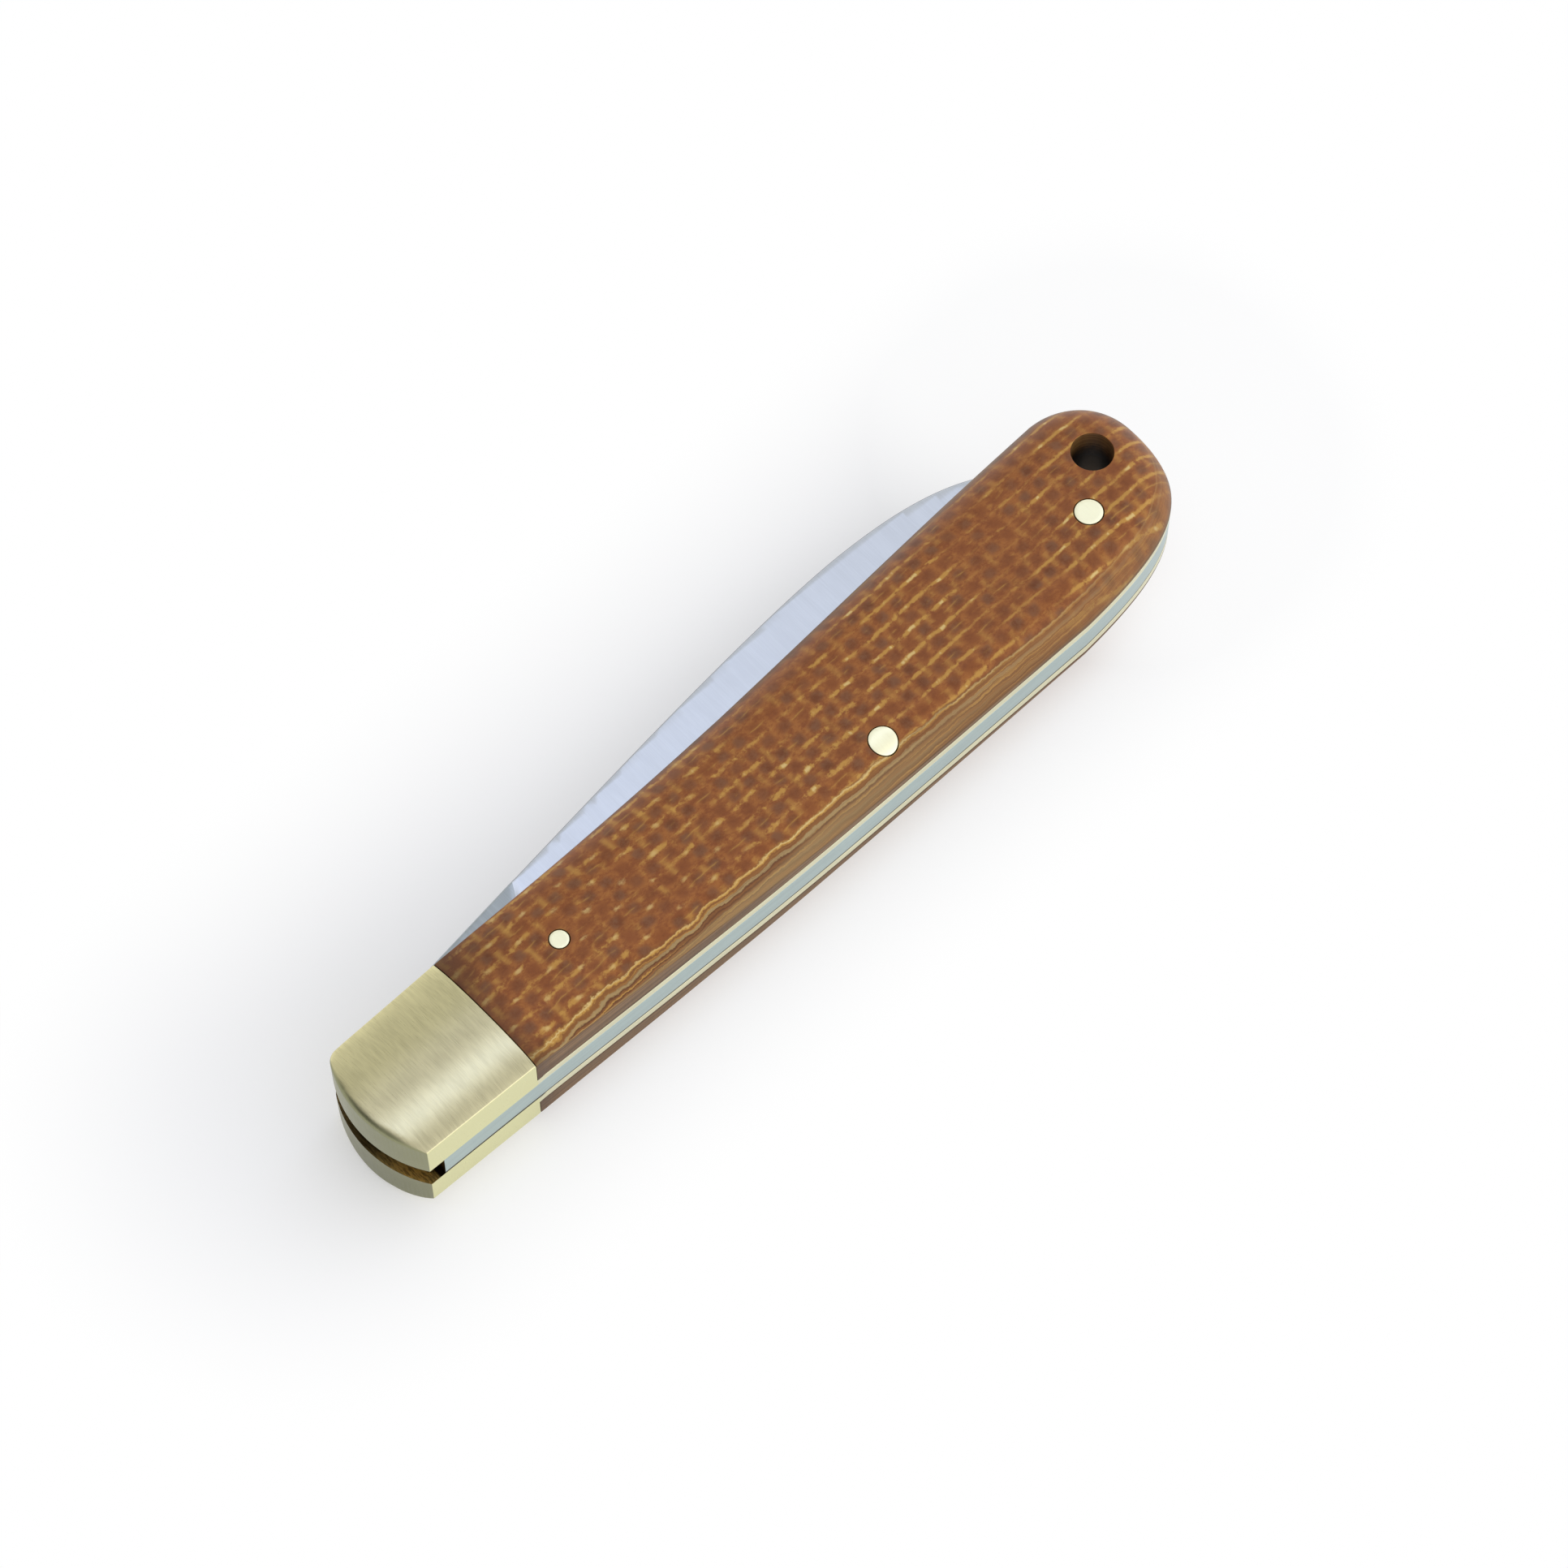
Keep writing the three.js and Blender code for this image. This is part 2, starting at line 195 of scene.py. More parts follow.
def inside(points, loop):
    """Whether each point lies inside a closed loop."""
    hit = np.zeros(len(points), bool)
    for a, b in zip(loop, np.roll(loop, -1, 0)):
        crosses = (a[1] > points[:, 1]) != (b[1] > points[:, 1])
        if crosses.any():
            x = a[0] + (points[:, 1] - a[1]) / (b[1] - a[1] + 1e-30) * (b[0] - a[0])
            hit ^= crosses & (points[:, 0] < x)
    return hit


# Plan of the handle. Its long edges run on past the front, where the front arc cuts them.

# Keeps the finer curves inside the frame's own faceted outline
SKIN = 0.012

BACK_END = (BUTT_X - 19.9, -12.0)
BUTT_END = (BUTT_X, 1.75)
SLOT_END = (BUTT_X - 7.9, 9.2)
BACK_POINTS = [(FRONT_X - 3, -11.2), (SEAM_X, -11.55), (SEAM_X / 2, -12.1), (0, -12.4), BACK_END]
BACK_EDGE = smooth_line(BACK_POINTS, 20)
BUTT_LOWER = bezier([BACK_END, (BUTT_X - 5.2, -10.95), (BUTT_X, -8.05), BUTT_END], 40)
BUTT_UPPER_POINTS = [BUTT_END, (BUTT_X, 5.922), (BUTT_X - 3.318, 9.2), SLOT_END]
BUTT_UPPER = bezier(BUTT_UPPER_POINTS, 32)
SLOT_POINTS = [SLOT_END, (BUTT_X - 22.8, 8.2), (0, 5.5), (SEAM_X / 2, 4.25), (SEAM_X, 3.55)]
SLOT_EDGE = smooth_line([*SLOT_POINTS, (FRONT_X - 3, 3.0)], 16)
RIM = offset(np.vstack([BACK_EDGE, BUTT_LOWER[1:], BUTT_UPPER[1:], SLOT_EDGE[1:]]), SKIN)
FRONT_CENTRE = np.array([FRONT_X + 13.05, -4.0])
FRONT_RADIUS = 13.05 - SKIN
FRONT_CORNER_RADIUS = 1.8


def front_curve():
    """The rounded front end, from the slot edge over the small corner to the back corner."""
    slot = RIM[RIM[:, 1] > 0]
    reach = FRONT_RADIUS - FRONT_CORNER_RADIUS
    corner_x = FRONT_X + 3
    for _ in range(4):
        corner_y = height_at(slot, corner_x) - FRONT_CORNER_RADIUS
        corner_x = FRONT_CENTRE[0] - math.sqrt(reach**2 - (corner_y - FRONT_CENTRE[1]) ** 2)
    turn = math.atan2(corner_y - FRONT_CENTRE[1], corner_x - FRONT_CENTRE[0])
    back = RIM[(RIM[:, 1] < 0) & (RIM[:, 0] < 0)]
    low_x = FRONT_X + 2
    for _ in range(6):
        low_y = height_at(back, low_x)
        low_x = FRONT_CENTRE[0] - math.sqrt(FRONT_RADIUS**2 - (low_y - FRONT_CENTRE[1]) ** 2)
    end = math.atan2(low_y - FRONT_CENTRE[1], low_x - FRONT_CENTRE[0]) + 2 * math.pi
    corner = arc((corner_x, corner_y), FRONT_CORNER_RADIUS, math.pi / 2, turn, 12)
    return np.vstack([corner, arc(FRONT_CENTRE, FRONT_RADIUS, turn, end, 60)[1:]])


FRONT = front_curve()
# Along X, from the front curve's ends to the rim's next point
LEAST_STEP = 0.05


def rim_ends(x):
    """Where the rim crosses some x, at the back and at the slot."""
    return [[x, height_at(RIM[side], x)] for side in (RIM[:, 1] < 0, RIM[:, 1] > 0)]


def whole_plan():
    """Closed outline of a liner."""
    back = RIM[(RIM[:, 1] < 0) & (RIM[:, 0] > FRONT[-1, 0] + LEAST_STEP)]
    slot = RIM[(RIM[:, 1] >= 0) & (RIM[:, 0] > FRONT[0, 0] + LEAST_STEP)]
    return np.vstack([back, slot, FRONT])


def scale_plan():
    """Closed outline of a scale, behind the seam."""
    seam = SEAM_X + bpy.context.scene.knife_edges.seam_gap * MM
    back, slot = rim_ends(seam)
    return np.vstack([[back], RIM[RIM[:, 0] > seam], [slot]])


def bolster_plan():
    """Closed outline of a bolster, in front of the seam."""
    loop = whole_plan()
    seam = SEAM_X - SKIN
    back = loop[(loop[:, 0] < seam) & (loop[:, 1] < 0) & (loop[:, 0] > FRONT[-1, 0] + LEAST_STEP)]
    back = back[nearest(back, FRONT)[0] > 0.02]
    slot = loop[(loop[:, 0] < seam) & (loop[:, 1] > 0) & (loop[:, 0] > FRONT[0, 0] + LEAST_STEP)]
    return np.vstack([back, rim_ends(seam), slot, FRONT])


# Heights over the plan


def drop(distance, radius):
    """How far a rounded edge lies below the face beside it, at a distance in from the edge."""
    away = radius - np.clip(distance, 0, radius)
    return radius - np.sqrt(np.maximum(radius**2 - away**2, 0))


def side_face(x, at_seam):
    """Height of the straight side face, which is tall at the bolster and low at the butt."""
    ahead = np.interp(x, [SEAM_X, 0], [at_seam, SIDE_MIDDLE])
    return np.where(x < 0, ahead, np.interp(x, [0, BUTT_X], [SIDE_MIDDLE, SIDE_BUTT]))


def crease_at(x):
    """Softness of the crease under the crown, crisp at the bolster and rounder at the butt."""
    crisp = bpy.context.scene.knife_edges.crease * MM
    return np.interp(x, [SEAM_X, -10, BUTT_X], [crisp, crisp * 1.5, crisp * 3])


def crown_width(x):
    """Width of the crown, which is broader on the bolster."""
    return np.interp(x, [SEAM_X, SEAM_X / 2], [CROWN_WIDTH_BOLSTER, CROWN_WIDTH])


def crown_rise(inset, x):
    """Share of the crown's height that is reached at an inset from the rim."""
    angle = np.arccos(math.cos(CROWN_START) * (1 - np.clip(inset / crown_width(x), 0, 1)))
    return (np.sin(angle) - math.sin(CROWN_START)) / (1 - math.sin(CROWN_START))


def crown(points, at_seam):
    """Height of a cover's outer face above its liner."""
    away, x = nearest(points, RIM)
    side, soft = side_face(x, at_seam), crease_at(x)
    face = side + (COVER - side) * crown_rise(away, x)
    share = np.sqrt(np.clip(away / soft, 0, 1))
    lip = side + (COVER - side) * crown_rise(soft, x)
    eased = (1 - share) ** 2 * (side - soft) + 2 * share * (1 - share) * side + share**2 * lip
    return np.where(away < soft, eased, face)


def crown_guides():
    """Lines inside the rim along which the crown bends."""
    soft = crease_at(RIM[:, 0])
    creases = [offset(RIM, soft * share**2) for share in (0.3, 0.55, 0.8, 1)]
    angles = CROWN_START + (math.pi / 2 - CROWN_START) * np.arange(1, 15) / 14
    shares = 1 - np.cos(angles) / math.cos(CROWN_START)
    width = crown_width(RIM[:, 0])
    return creases + [offset(RIM, width * share) for share in shares if share * CROWN_WIDTH > soft.max()]


# Meshes


def triangulate(loop, holes=(), guides=(), fill=()):
    """Points and triangles over the inside of a loop without its holes, with edges along the guides."""
    lines = [(loop, True), *((hole, True) for hole in holes), *((guide, False) for guide in guides)]
    points, edges = [], []
    for line, closed in lines:
        first, count = len(points), len(line)
        points += [tuple(p) for p in line]
        edges += [(first + i, first + i + 1) for i in range(count - 1)]
        if closed:
            edges.append((first + count - 1, first))
    points += [tuple(p) for p in fill]
    found, _, faces, *_ = delaunay_2d_cdt([Vector(p) for p in points], edges, [], 0, 1e-4)
    flat = np.array([tuple(p) for p in found], float)
    faces = np.array([tuple(f) for f in faces])
    centres = flat[faces].mean(1)
    keep = inside(centres, loop)
    for hole in holes:
        keep &= ~inside(centres, hole)
    faces = faces[keep]
    used, index = np.unique(faces, return_inverse=True)
    faces = index.reshape(-1, 3)
    flat = flat[used]
    a, b, c = flat[faces[:, 0]], flat[faces[:, 1]], flat[faces[:, 2]]
    area = (b[:, 0] - a[:, 0]) * (c[:, 1] - a[:, 1]) - (b[:, 1] - a[:, 1]) * (c[:, 0] - a[:, 0])
    faces[area < 0] = faces[area < 0][:, ::-1]
    return flat, faces


def looped(lines):
    """Each of the closed lines with its first point again at its end."""
    return [np.vstack([line, line[:1]]) for line in lines]


def open_edges(faces):
    """Edges that only one triangle has, in that triangle's direction."""
    pairs = np.vstack([faces[:, [0, 1]], faces[:, [1, 2]], faces[:, [2, 0]]])
    seen = {(a, b) for a, b in pairs}
    return [(a, b) for a, b in pairs if (b, a) not in seen]


def slab(name, plan, low, high, material, second=None, marked=None):
    """A closed piece over a plan, between a lower and an upper sheet, with walls round it.
    Triangles that are marked take the second material."""
    flat, faces = plan
    count = len(flat)
    low = np.broadcast_to(low, count)
    high = np.broadcast_to(high, count)
    upper = np.column_stack([flat, high])
    lower = np.column_stack([flat, low])
    walls = [(a, a + count, b + count, b) for a, b in open_edges(faces)]
    mesh = bpy.data.meshes.new(name)
    rings = [tuple(f) for f in faces] + [tuple(f) for f in faces[:, ::-1] + count] + walls
    mesh.from_pydata(np.vstack([upper, lower]) / MM, [], rings)
    mesh.materials.append(material)
    if second:
        mesh.materials.append(second)
        index = np.zeros(len(rings), np.int32)
        index[: 2 * len(faces)] = np.tile(marked, 2)
        mesh.polygons.foreach_set("material_index", index)
    piece = bpy.data.objects.new(name, mesh)
    bpy.context.scene.collection.objects.link(piece)
    soften(piece)
    return piece


def soften(piece):
    """Smooth shading between sharp edges."""
    work = bmesh.new()
    work.from_mesh(piece.data)
    bmesh.ops.dissolve_degenerate(work, dist=1e-8, edges=work.edges)
    for face in work.faces:
        face.smooth = True
    for edge in work.edges:
        if len(edge.link_faces) == 2:
            edge.smooth = edge.calc_face_angle() < SHARP_ANGLE
    work.to_mesh(piece.data)
    work.free()
    weighted = piece.modifiers.new("Weighted normals", "WEIGHTED_NORMAL")
    weighted.keep_sharp = True


def settle(piece, body, slot, *nodes):
    """Lets a piece stand for its frame nodes and ride on their body."""
    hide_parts(*nodes)
    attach(piece, body)


# Layers of the laminate under its first cloth: depth in millimetres, and the setting with its colour
LAYER_SPAN = 2.6
LAYERS = (
    (0.0, "layer_brown"),
    (0.05, "pale"),
    (0.1, "gold"),
    (0.16, "layer_brown"),
    (0.3, "layer_brown"),
    (0.35, "layer_pale"),
    (0.45, "layer_pale"),
    (0.52, "layer_dark"),
    (0.64, "layer_brown"),
    (0.76, "layer_dark"),
    (0.88, "layer_brown"),
    (1.0, "side_pale"),
    (1.15, "layer_dark"),
    (1.4, "layer_brown"),
    (1.7, "side_pale"),
    (2.0, "layer_brown"),
    (2.3, "side_dark"),
)

# Shader nodes


class Graph:
    """Adds nodes to a shader tree and joins them."""

    def __init__(self, tree):
        self.tree = tree

    def node(self, kind, *values, **settings):
        """A node with these settings, whose first inputs take the values."""
        made = self.tree.nodes.new(kind)
        made.location = (len(self.tree.nodes) % 12 * 200 - 2600, len(self.tree.nodes) // 12 * -260)
        for key, value in settings.items():
            setattr(made, key, value)
        for socket, value in zip(made.inputs, values):
            self.feed(socket, value)
        return made

    def feed(self, socket, value):
        if isinstance(value, bpy.types.NodeSocket):
            self.tree.links.new(value, socket)
        elif socket.type == "RGBA" and len(value) == 3:
            socket.default_value = (*value, 1)
        else:
            socket.default_value = value

    def math(self, operation, *values):
        return self.node("ShaderNodeMath", *values, operation=operation).outputs[0]

    add = partialmethod(math, "ADD")
    less = partialmethod(math, "SUBTRACT")
    times = partialmethod(math, "MULTIPLY")
    line = partialmethod(math, "MULTIPLY_ADD")
    power = partialmethod(math, "POWER")
    size = partialmethod(math, "ABSOLUTE")
    most = partialmethod(math, "MAXIMUM")

    def vector(self, operation, *values):
        return self.node("ShaderNodeVectorMath", *values, operation=operation)

    def scaled(self, vector, factor):
        made = self.vector("SCALE", vector)
        made.inputs["Scale"].default_value = factor
        return made.outputs[0]

    def ease(self, value, low, high, start=0.0, end=1.0):
        settings = {"interpolation_type": "SMOOTHSTEP"}
        return self.node("ShaderNodeMapRange", value, low, high, start, end, **settings).outputs["Result"]

    def mix(self, share, first, second, blend="MIX"):
        made = self.node("ShaderNodeMix", share, data_type="RGBA", blend_type=blend)
        self.feed(made.inputs[6], first)
        self.feed(made.inputs[7], second)
        return made.outputs[2]

    def coats(self, colour, *coats):
        """The colour with others over it, each by its share."""
        for share, tint in coats:
            colour = self.mix(share, colour, tint)
        return colour

    def noise(self, vector, scale=1.0, detail=2.0, roughness=0.5, output="Fac"):
        made = self.node("ShaderNodeTexNoise", vector)
        for name, value in (("Scale", scale), ("Detail", detail), ("Roughness", roughness)):
            made.inputs[name].default_value = value
        return made.outputs[output]

    def swing(self, vector, scale, detail, reach):
        """Smooth random vectors about zero."""
        away = self.vector("SUBTRACT", self.noise(vector, scale, detail, output="Color"), (0.5, 0.5, 0.5))
        return self.scaled(away.outputs[0], reach)

    def split(self, vector):
        return self.node("ShaderNodeSeparateXYZ", vector).outputs

    def join(self, x, y, z=0.0):
        return self.node("ShaderNodeCombineXYZ", x, y, z).outputs[0]

    def group(self, tree, **inputs):
        made = self.node("ShaderNodeGroup", node_tree=tree)
        for name, value in inputs.items():
            self.feed(made.inputs[name.replace("_", " ")], value)
        return made.outputs

    def place(self):
        """Place on the piece, in millimetres of the frame."""
        return self.scaled(self.node("ShaderNodeTexCoord").outputs["Object"], MM)

    def normal(self):
        """The surface's direction, as X, Y and Z."""
        return self.split(self.node("ShaderNodeTexCoord").outputs["Normal"])

    def bump(self, height, strength, distance):
        made = self.node("ShaderNodeBump")
        made.inputs["Strength"].default_value = strength
        made.inputs["Distance"].default_value = distance
        self.feed(made.inputs["Height"], height)
        return made.outputs["Normal"]


def effect(name, fill, outputs, **inputs):
    """A node group that takes a place and numbers and gives numbers, made and filled once."""
    tree = bpy.data.node_groups.get(name)
    if tree:
        return tree
    tree = bpy.data.node_groups.new(name, "ShaderNodeTree")
    tree.interface.new_socket("Place", in_out="INPUT", socket_type="NodeSocketVector")
    for label, default in inputs.items():
        label = label.replace("_", " ")
        socket = tree.interface.new_socket(label, in_out="INPUT", socket_type="NodeSocketFloat")
        socket.default_value = default
    for label in outputs:
        tree.interface.new_socket(label, in_out="OUTPUT", socket_type="NodeSocketFloat")
    given = tree.nodes.new("NodeGroupInput")
    given.location = (-2900, 0)
    result = tree.nodes.new("NodeGroupOutput")
    result.location = (600, 0)
    fill(Graph(tree), given.outputs, result.inputs)
    return tree


def brushed_lines(graph, given, result):
    """Fine parallel scratches across the X of the given place, with broader streaks among them."""
    x, y, z = graph.split(given["Place"])
    run, deep = (graph.math("DIVIDE", part, given["Length"]) for part in (y, z))
    across = graph.times(x, given["Lines per mm"])
    graph.feed(result["Lines"], graph.noise(graph.join(across, run, deep), 1.0, 3.0, 0.6))
    graph.feed(result["Streaks"], graph.noise(graph.join(graph.times(across, 0.22), run, deep)))


def soft_mottle(graph, given, result):
    """Slow uneven tone, as handling leaves on metal."""
    patch = graph.join(*[given["Patch size"]] * 3)
    spread = graph.vector("DIVIDE", given["Place"], patch).outputs[0]
    graph.feed(result["Mottle"], graph.noise(spread, 1.0, 3.0, 0.55))


def off_middle(graph, z):
    """Distance from the plane halfway up the knife."""
    return graph.size(graph.less(z, MIDDLE_Z))


def bore_painted_shade(graph, given, result):
    """Share of painted shade on the wall of the lanyard hole, which deepens below its rim."""
    x, y, z = graph.split(given["Place"])
    centre = graph.vector("DISTANCE", graph.join(x, y), (*LANYARD, 0))
    wall = graph.ease(centre.outputs["Value"], LANYARD_RADIUS + 0.06, LANYARD_RADIUS + 0.02)
    uneven = graph.line(graph.noise(given["Place"], 1.4, 3.0), 3.0, off_middle(graph, z))
    deep = graph.ease(uneven, MIDDLE_Z + 0.3, MIDDLE_Z - 2.6, 0.05, 1.0)
    # The output named Soil carries the painted shade.
    graph.feed(result["Soil"], graph.times(wall, deep))


def bore_shade_share(graph, place):
    """Share of painted shade in the lanyard hole."""
    return graph.group(effect("Bore Painted Shade", bore_painted_shade, ["Soil"]), Place=place)["Soil"]


def new_material(name, **sockets):
    """A material with one Principled shader, whose plain sockets take the given values."""
    material = bpy.data.materials.new(name)
    material.use_nodes = True
    graph = Graph(material.node_tree)
    shader = material.node_tree.nodes["Principled BSDF"]
    for label, value in sockets.items():
        shader.inputs[label.replace("_", " ")].default_value = value
    return material, graph, shader


def upright(graph, flat, steep):
    """Share of a side face: none where the Z part of the surface's direction is above flat, and all
    where it is below steep."""
    return graph.ease(graph.size(graph.normal()[2]), flat, steep)


def brushed_metal(
    name, colour, lines, length, rough, anisotropic, lengthwise, coat, contrast, relief, painted_light_and_tone=None
):
    """Satin metal with fine lines across the handle, or along it. A function that lays painted light and
    shade, soil and tone over it may replace its tone.
    """
    material, graph, shader = new_material(
        name, Metallic=1.0, Anisotropic=anisotropic, Coat_Weight=coat, Coat_Roughness=0.25
    )
    place = graph.place()
    x, y, z = graph.split(place)
    turned = graph.join(graph.add(y, z), x, 0.0) if lengthwise else place
    scratches = effect("Brushed Lines", brushed_lines, ["Lines", "Streaks"], Lines_per_mm=8.0, Length=6.0)
    brushed = graph.group(scratches, Place=turned, Lines_per_mm=lines, Length=length)
    patches = effect("Soft Mottle", soft_mottle, ["Mottle"], Patch_size=6.0)
    mottle = graph.group(patches, Place=place, Patch_size=5.0)
    tone = graph.add(brushed["Lines"], graph.times(brushed["Streaks"], 0.7))
    shade = graph.ease(graph.add(tone, graph.times(mottle["Mottle"], 0.5)), 0.8, 1.4)
    dark = tuple(part * (1 - contrast) for part in colour)
    light = tuple(min(1.0, part * (1 + contrast * 0.6)) for part in colour)
    tint = graph.mix(shade, dark, light)
    if painted_light_and_tone:
        tint = painted_light_and_tone(graph, place, tint)
    graph.feed(shader.inputs["Base Color"], tint)
    graph.feed(shader.inputs["Roughness"], graph.line(brushed["Lines"], 0.16, rough - 0.08))
    graph.feed(shader.inputs["Normal"], graph.bump(brushed["Lines"], relief, 0.00001))
    if anisotropic:
        upward = upright(graph, 0.8, 0.4)
        across = graph.join(graph.less(1.0, upward), 0.0, upward)
        settings = {"vector_type": "VECTOR", "convert_from": "OBJECT", "convert_to": "WORLD"}
        across = graph.node("ShaderNodeVectorTransform", across, **settings)
        graph.feed(shader.inputs["Tangent"], across.outputs[0])
    return material


def weave(graph, plan, x, look):
    """Masks of the cloth. Ahead its threads show as short knots, at the rear as long thin lines."""
    times, line, ease, power, size = graph.times, graph.line, graph.ease, graph.power, graph.size

    # The cloth runs along the handle and wavers a little
    cloth = graph.vector("ADD", plan, graph.swing(plan, 0.07, 2.0, 1.3)).outputs[0]
    cloth = graph.vector("ADD", cloth, graph.swing(plan, 0.55, 3.0, 0.55)).outputs[0]
    turned = graph.node("ShaderNodeVectorRotate", cloth, rotation_type="Z_AXIS")
    turned.inputs["Angle"].default_value = -look.thread_angle
    along, across, _ = graph.split(turned.outputs[0])
    u = graph.math("DIVIDE", along, look.crest_pitch * MM)
    v = graph.math("DIVIDE", across, look.thread_pitch * MM)
    column, row, gap = (graph.math("ROUND", side) for side in (u, v, graph.add(v, 0.5)))
    over, under = (graph.math("COSINE", times(side, math.pi)) for side in (u, v))
    crest = times(over, graph.math("SIGN", under))
    fore, rear = ease(x, -22.0, 4.0, 1.0, 0.1), ease(x, 0.0, 30.0)

    def uneven(first, first_scale, second, second_scale, detail=1.0, roughness=0.5):
        stretched = graph.join(times(first, first_scale), times(second, second_scale))
        return graph.noise(stretched, 1.0, detail, roughness)

    # Threads along the handle, each of which comes and goes
    fuzz = uneven(along, 1.3, across, 2.2, 4.0, 0.7)
    ridge = power(size(under), line(rear, 8.0, ease(fuzz, 0.3, 0.7, 16.0, 5.0)))
    spread = graph.noise(plan, 0.07)
    stretch = line(spread, 1.2, line(x, -0.0008, uneven(along, 0.21, row, 5.3)))
    stretch = ease(stretch, 0.92, 1.26)
    knots = uneven(along, 0.85, row, 9.7, 2.0)
    dash = line(rear, 0.3, line(crest, 0.25, line(knots, 2.6, line(fuzz, 1.6, -1.75))))
    dash = line(ease(dash, -0.1, 0.7), 0.85, 0.15)
    thread = times(times(times(ridge, line(stretch, 0.75, 0.25)), dash), line(fore, -0.2, 1.0))
    bright = ease(line(crest, 0.06, line(fuzz, 0.3, knots)), 0.7, 0.86)
    bright = times(times(times(power(ridge, 1.6), stretch), bright), line(fore, -0.6, 1.0))
    knot = ease(line(knots, 0.6, line(fuzz, 0.6, -0.1)), 0.3, 0.62, 0.25, 0.85)
    knot = times(times(power(graph.most(crest, 0.0), 3.5), knot), times(ridge, fore))

    # Threads across it, faint ones between the rows, and the cells
    weft = ease(line(spread, 0.5, line(fuzz, 0.3, uneven(column, 6.1, across, 0.3))), 0.8, 1.0)
    weft = times(times(power(size(over), 9.0), weft), ease(crest, 0.6, -0.5))
    faint = ease(line(fuzz, 0.3, uneven(along, 0.3, gap, 7.9)), 0.66, 0.84)
    square = [graph.less(1.0, power(size(side), 3.0)) for side in (over, under)]
    corner = graph.join(graph.math("FLOOR", u), graph.math("FLOOR", v))
    return SimpleNamespace(
        fore=fore,
        rear=rear,
        fuzz=fuzz,
        lift=times(over, under),
        thread=thread,
        bright=graph.most(bright, knot),
        weft=weft,
        faint=times(power(graph.less(1.0, size(under)), 8.0), faint),
        cell=ease(line(fuzz, 1.0, line(times(*square), 0.8, -0.5)), 0.0, 0.9),
        own=graph.node("ShaderNodeTexWhiteNoise", corner, noise_dimensions="2D").outputs["Value"],
    )


def cloth_colour(graph, plan, cloth, look):
    """Mottled resin, in cells of their own tone, with the threads over it."""
    times, line, ease = graph.times, graph.line, graph.ease
    blotch = graph.noise(plan, 0.62, 4.0, 0.7)
    tone = line(cloth.fuzz, 0.75, line(blotch, 0.6, -0.17))
    light = graph.mix(ease(tone, 0.36, 0.64), look.brown, look.orange)
    shade = graph.mix(ease(line(cloth.own, 0.5, line(tone, 0.9, -0.2)), 0.15, 0.85), look.dark, look.brown)
    shade = graph.mix(times(ease(cloth.own, 0.3, 0.9, 0.6, 0.0), ease(blotch, 0.35, 0.6)), shade, look.grey)
    return graph.coats(
        light,
        (times(cloth.cell, 0.85), shade),
        (times(cloth.faint, 0.6), look.gold),
        (times(cloth.weft, line(cloth.fore, 0.25, 0.28)), look.gold),
        (ease(line(cloth.fuzz, 0.45, cloth.thread), 0.28, 1.0, 0.0, 0.85), look.gold),
        (ease(cloth.bright, 0.1, 0.9, 0.0, line(cloth.fore, -0.3, 0.9)), look.pale),
    )


def grain(graph, plan, depth, roughness):
    """Uneven lines along the layers."""
    slow_x, slow_y, _ = graph.split(graph.scaled(plan, 0.05))
    return graph.noise(graph.join(slow_x, slow_y, depth), 1.0, 3.0, roughness)


def cut_layers(graph, plan, axes, cloth, look):
    """Colour, lines and share of the layers that the crown and the sides cut across. They sink
    towards the slot, and fade at the butt."""
    x, y, z = axes
    deep = graph.less(graph.less(MIDDLE_Z, off_middle(graph, z)), graph.ease(y, -8.5, 5.5, 0.0, 2.0))
    roll = graph.noise(plan, 0.16, 3.0)
    wave = graph.line(cloth.lift, 0.06, graph.line(roll, 0.55, graph.line(cloth.fuzz, 0.32, -0.43)))
    level = graph.add(deep, wave)
    below = graph.less(level, graph.line(graph.ease(x, 5.0, 32.0), 0.45, look.layer_pitch * MM))
    spaced = graph.times(below, graph.ease(x, -18.0, 4.0, 1.0, 0.6))
    layers = graph.node("ShaderNodeValToRGB", graph.math("DIVIDE", spaced, LAYER_SPAN))
    stops = layers.color_ramp.elements
    for depth, shade in LAYERS:
        stops.new(depth / LAYER_SPAN).color = (*getattr(look, shade), 1)
    stops.remove(stops[0])
    stops.remove(stops[len(stops) - 1])
    stripes = grain(graph, plan, graph.times(level, 9.0), 0.65)
    colour = graph.coats(
        layers.outputs["Color"],
        (graph.times(cloth.rear, 0.5), look.layer_brown),
        (graph.ease(stripes, 0.5, 0.3, 0.0, 0.65), look.layer_dark),
        (graph.ease(stripes, 0.52, 0.68, 0.0, 0.7), look.gold),
    )
    shown = graph.times(graph.ease(below, -0.1, 0.03), graph.ease(x, 24.0, 46.0, 1.0, 0.3))
    return colour, stripes, shown


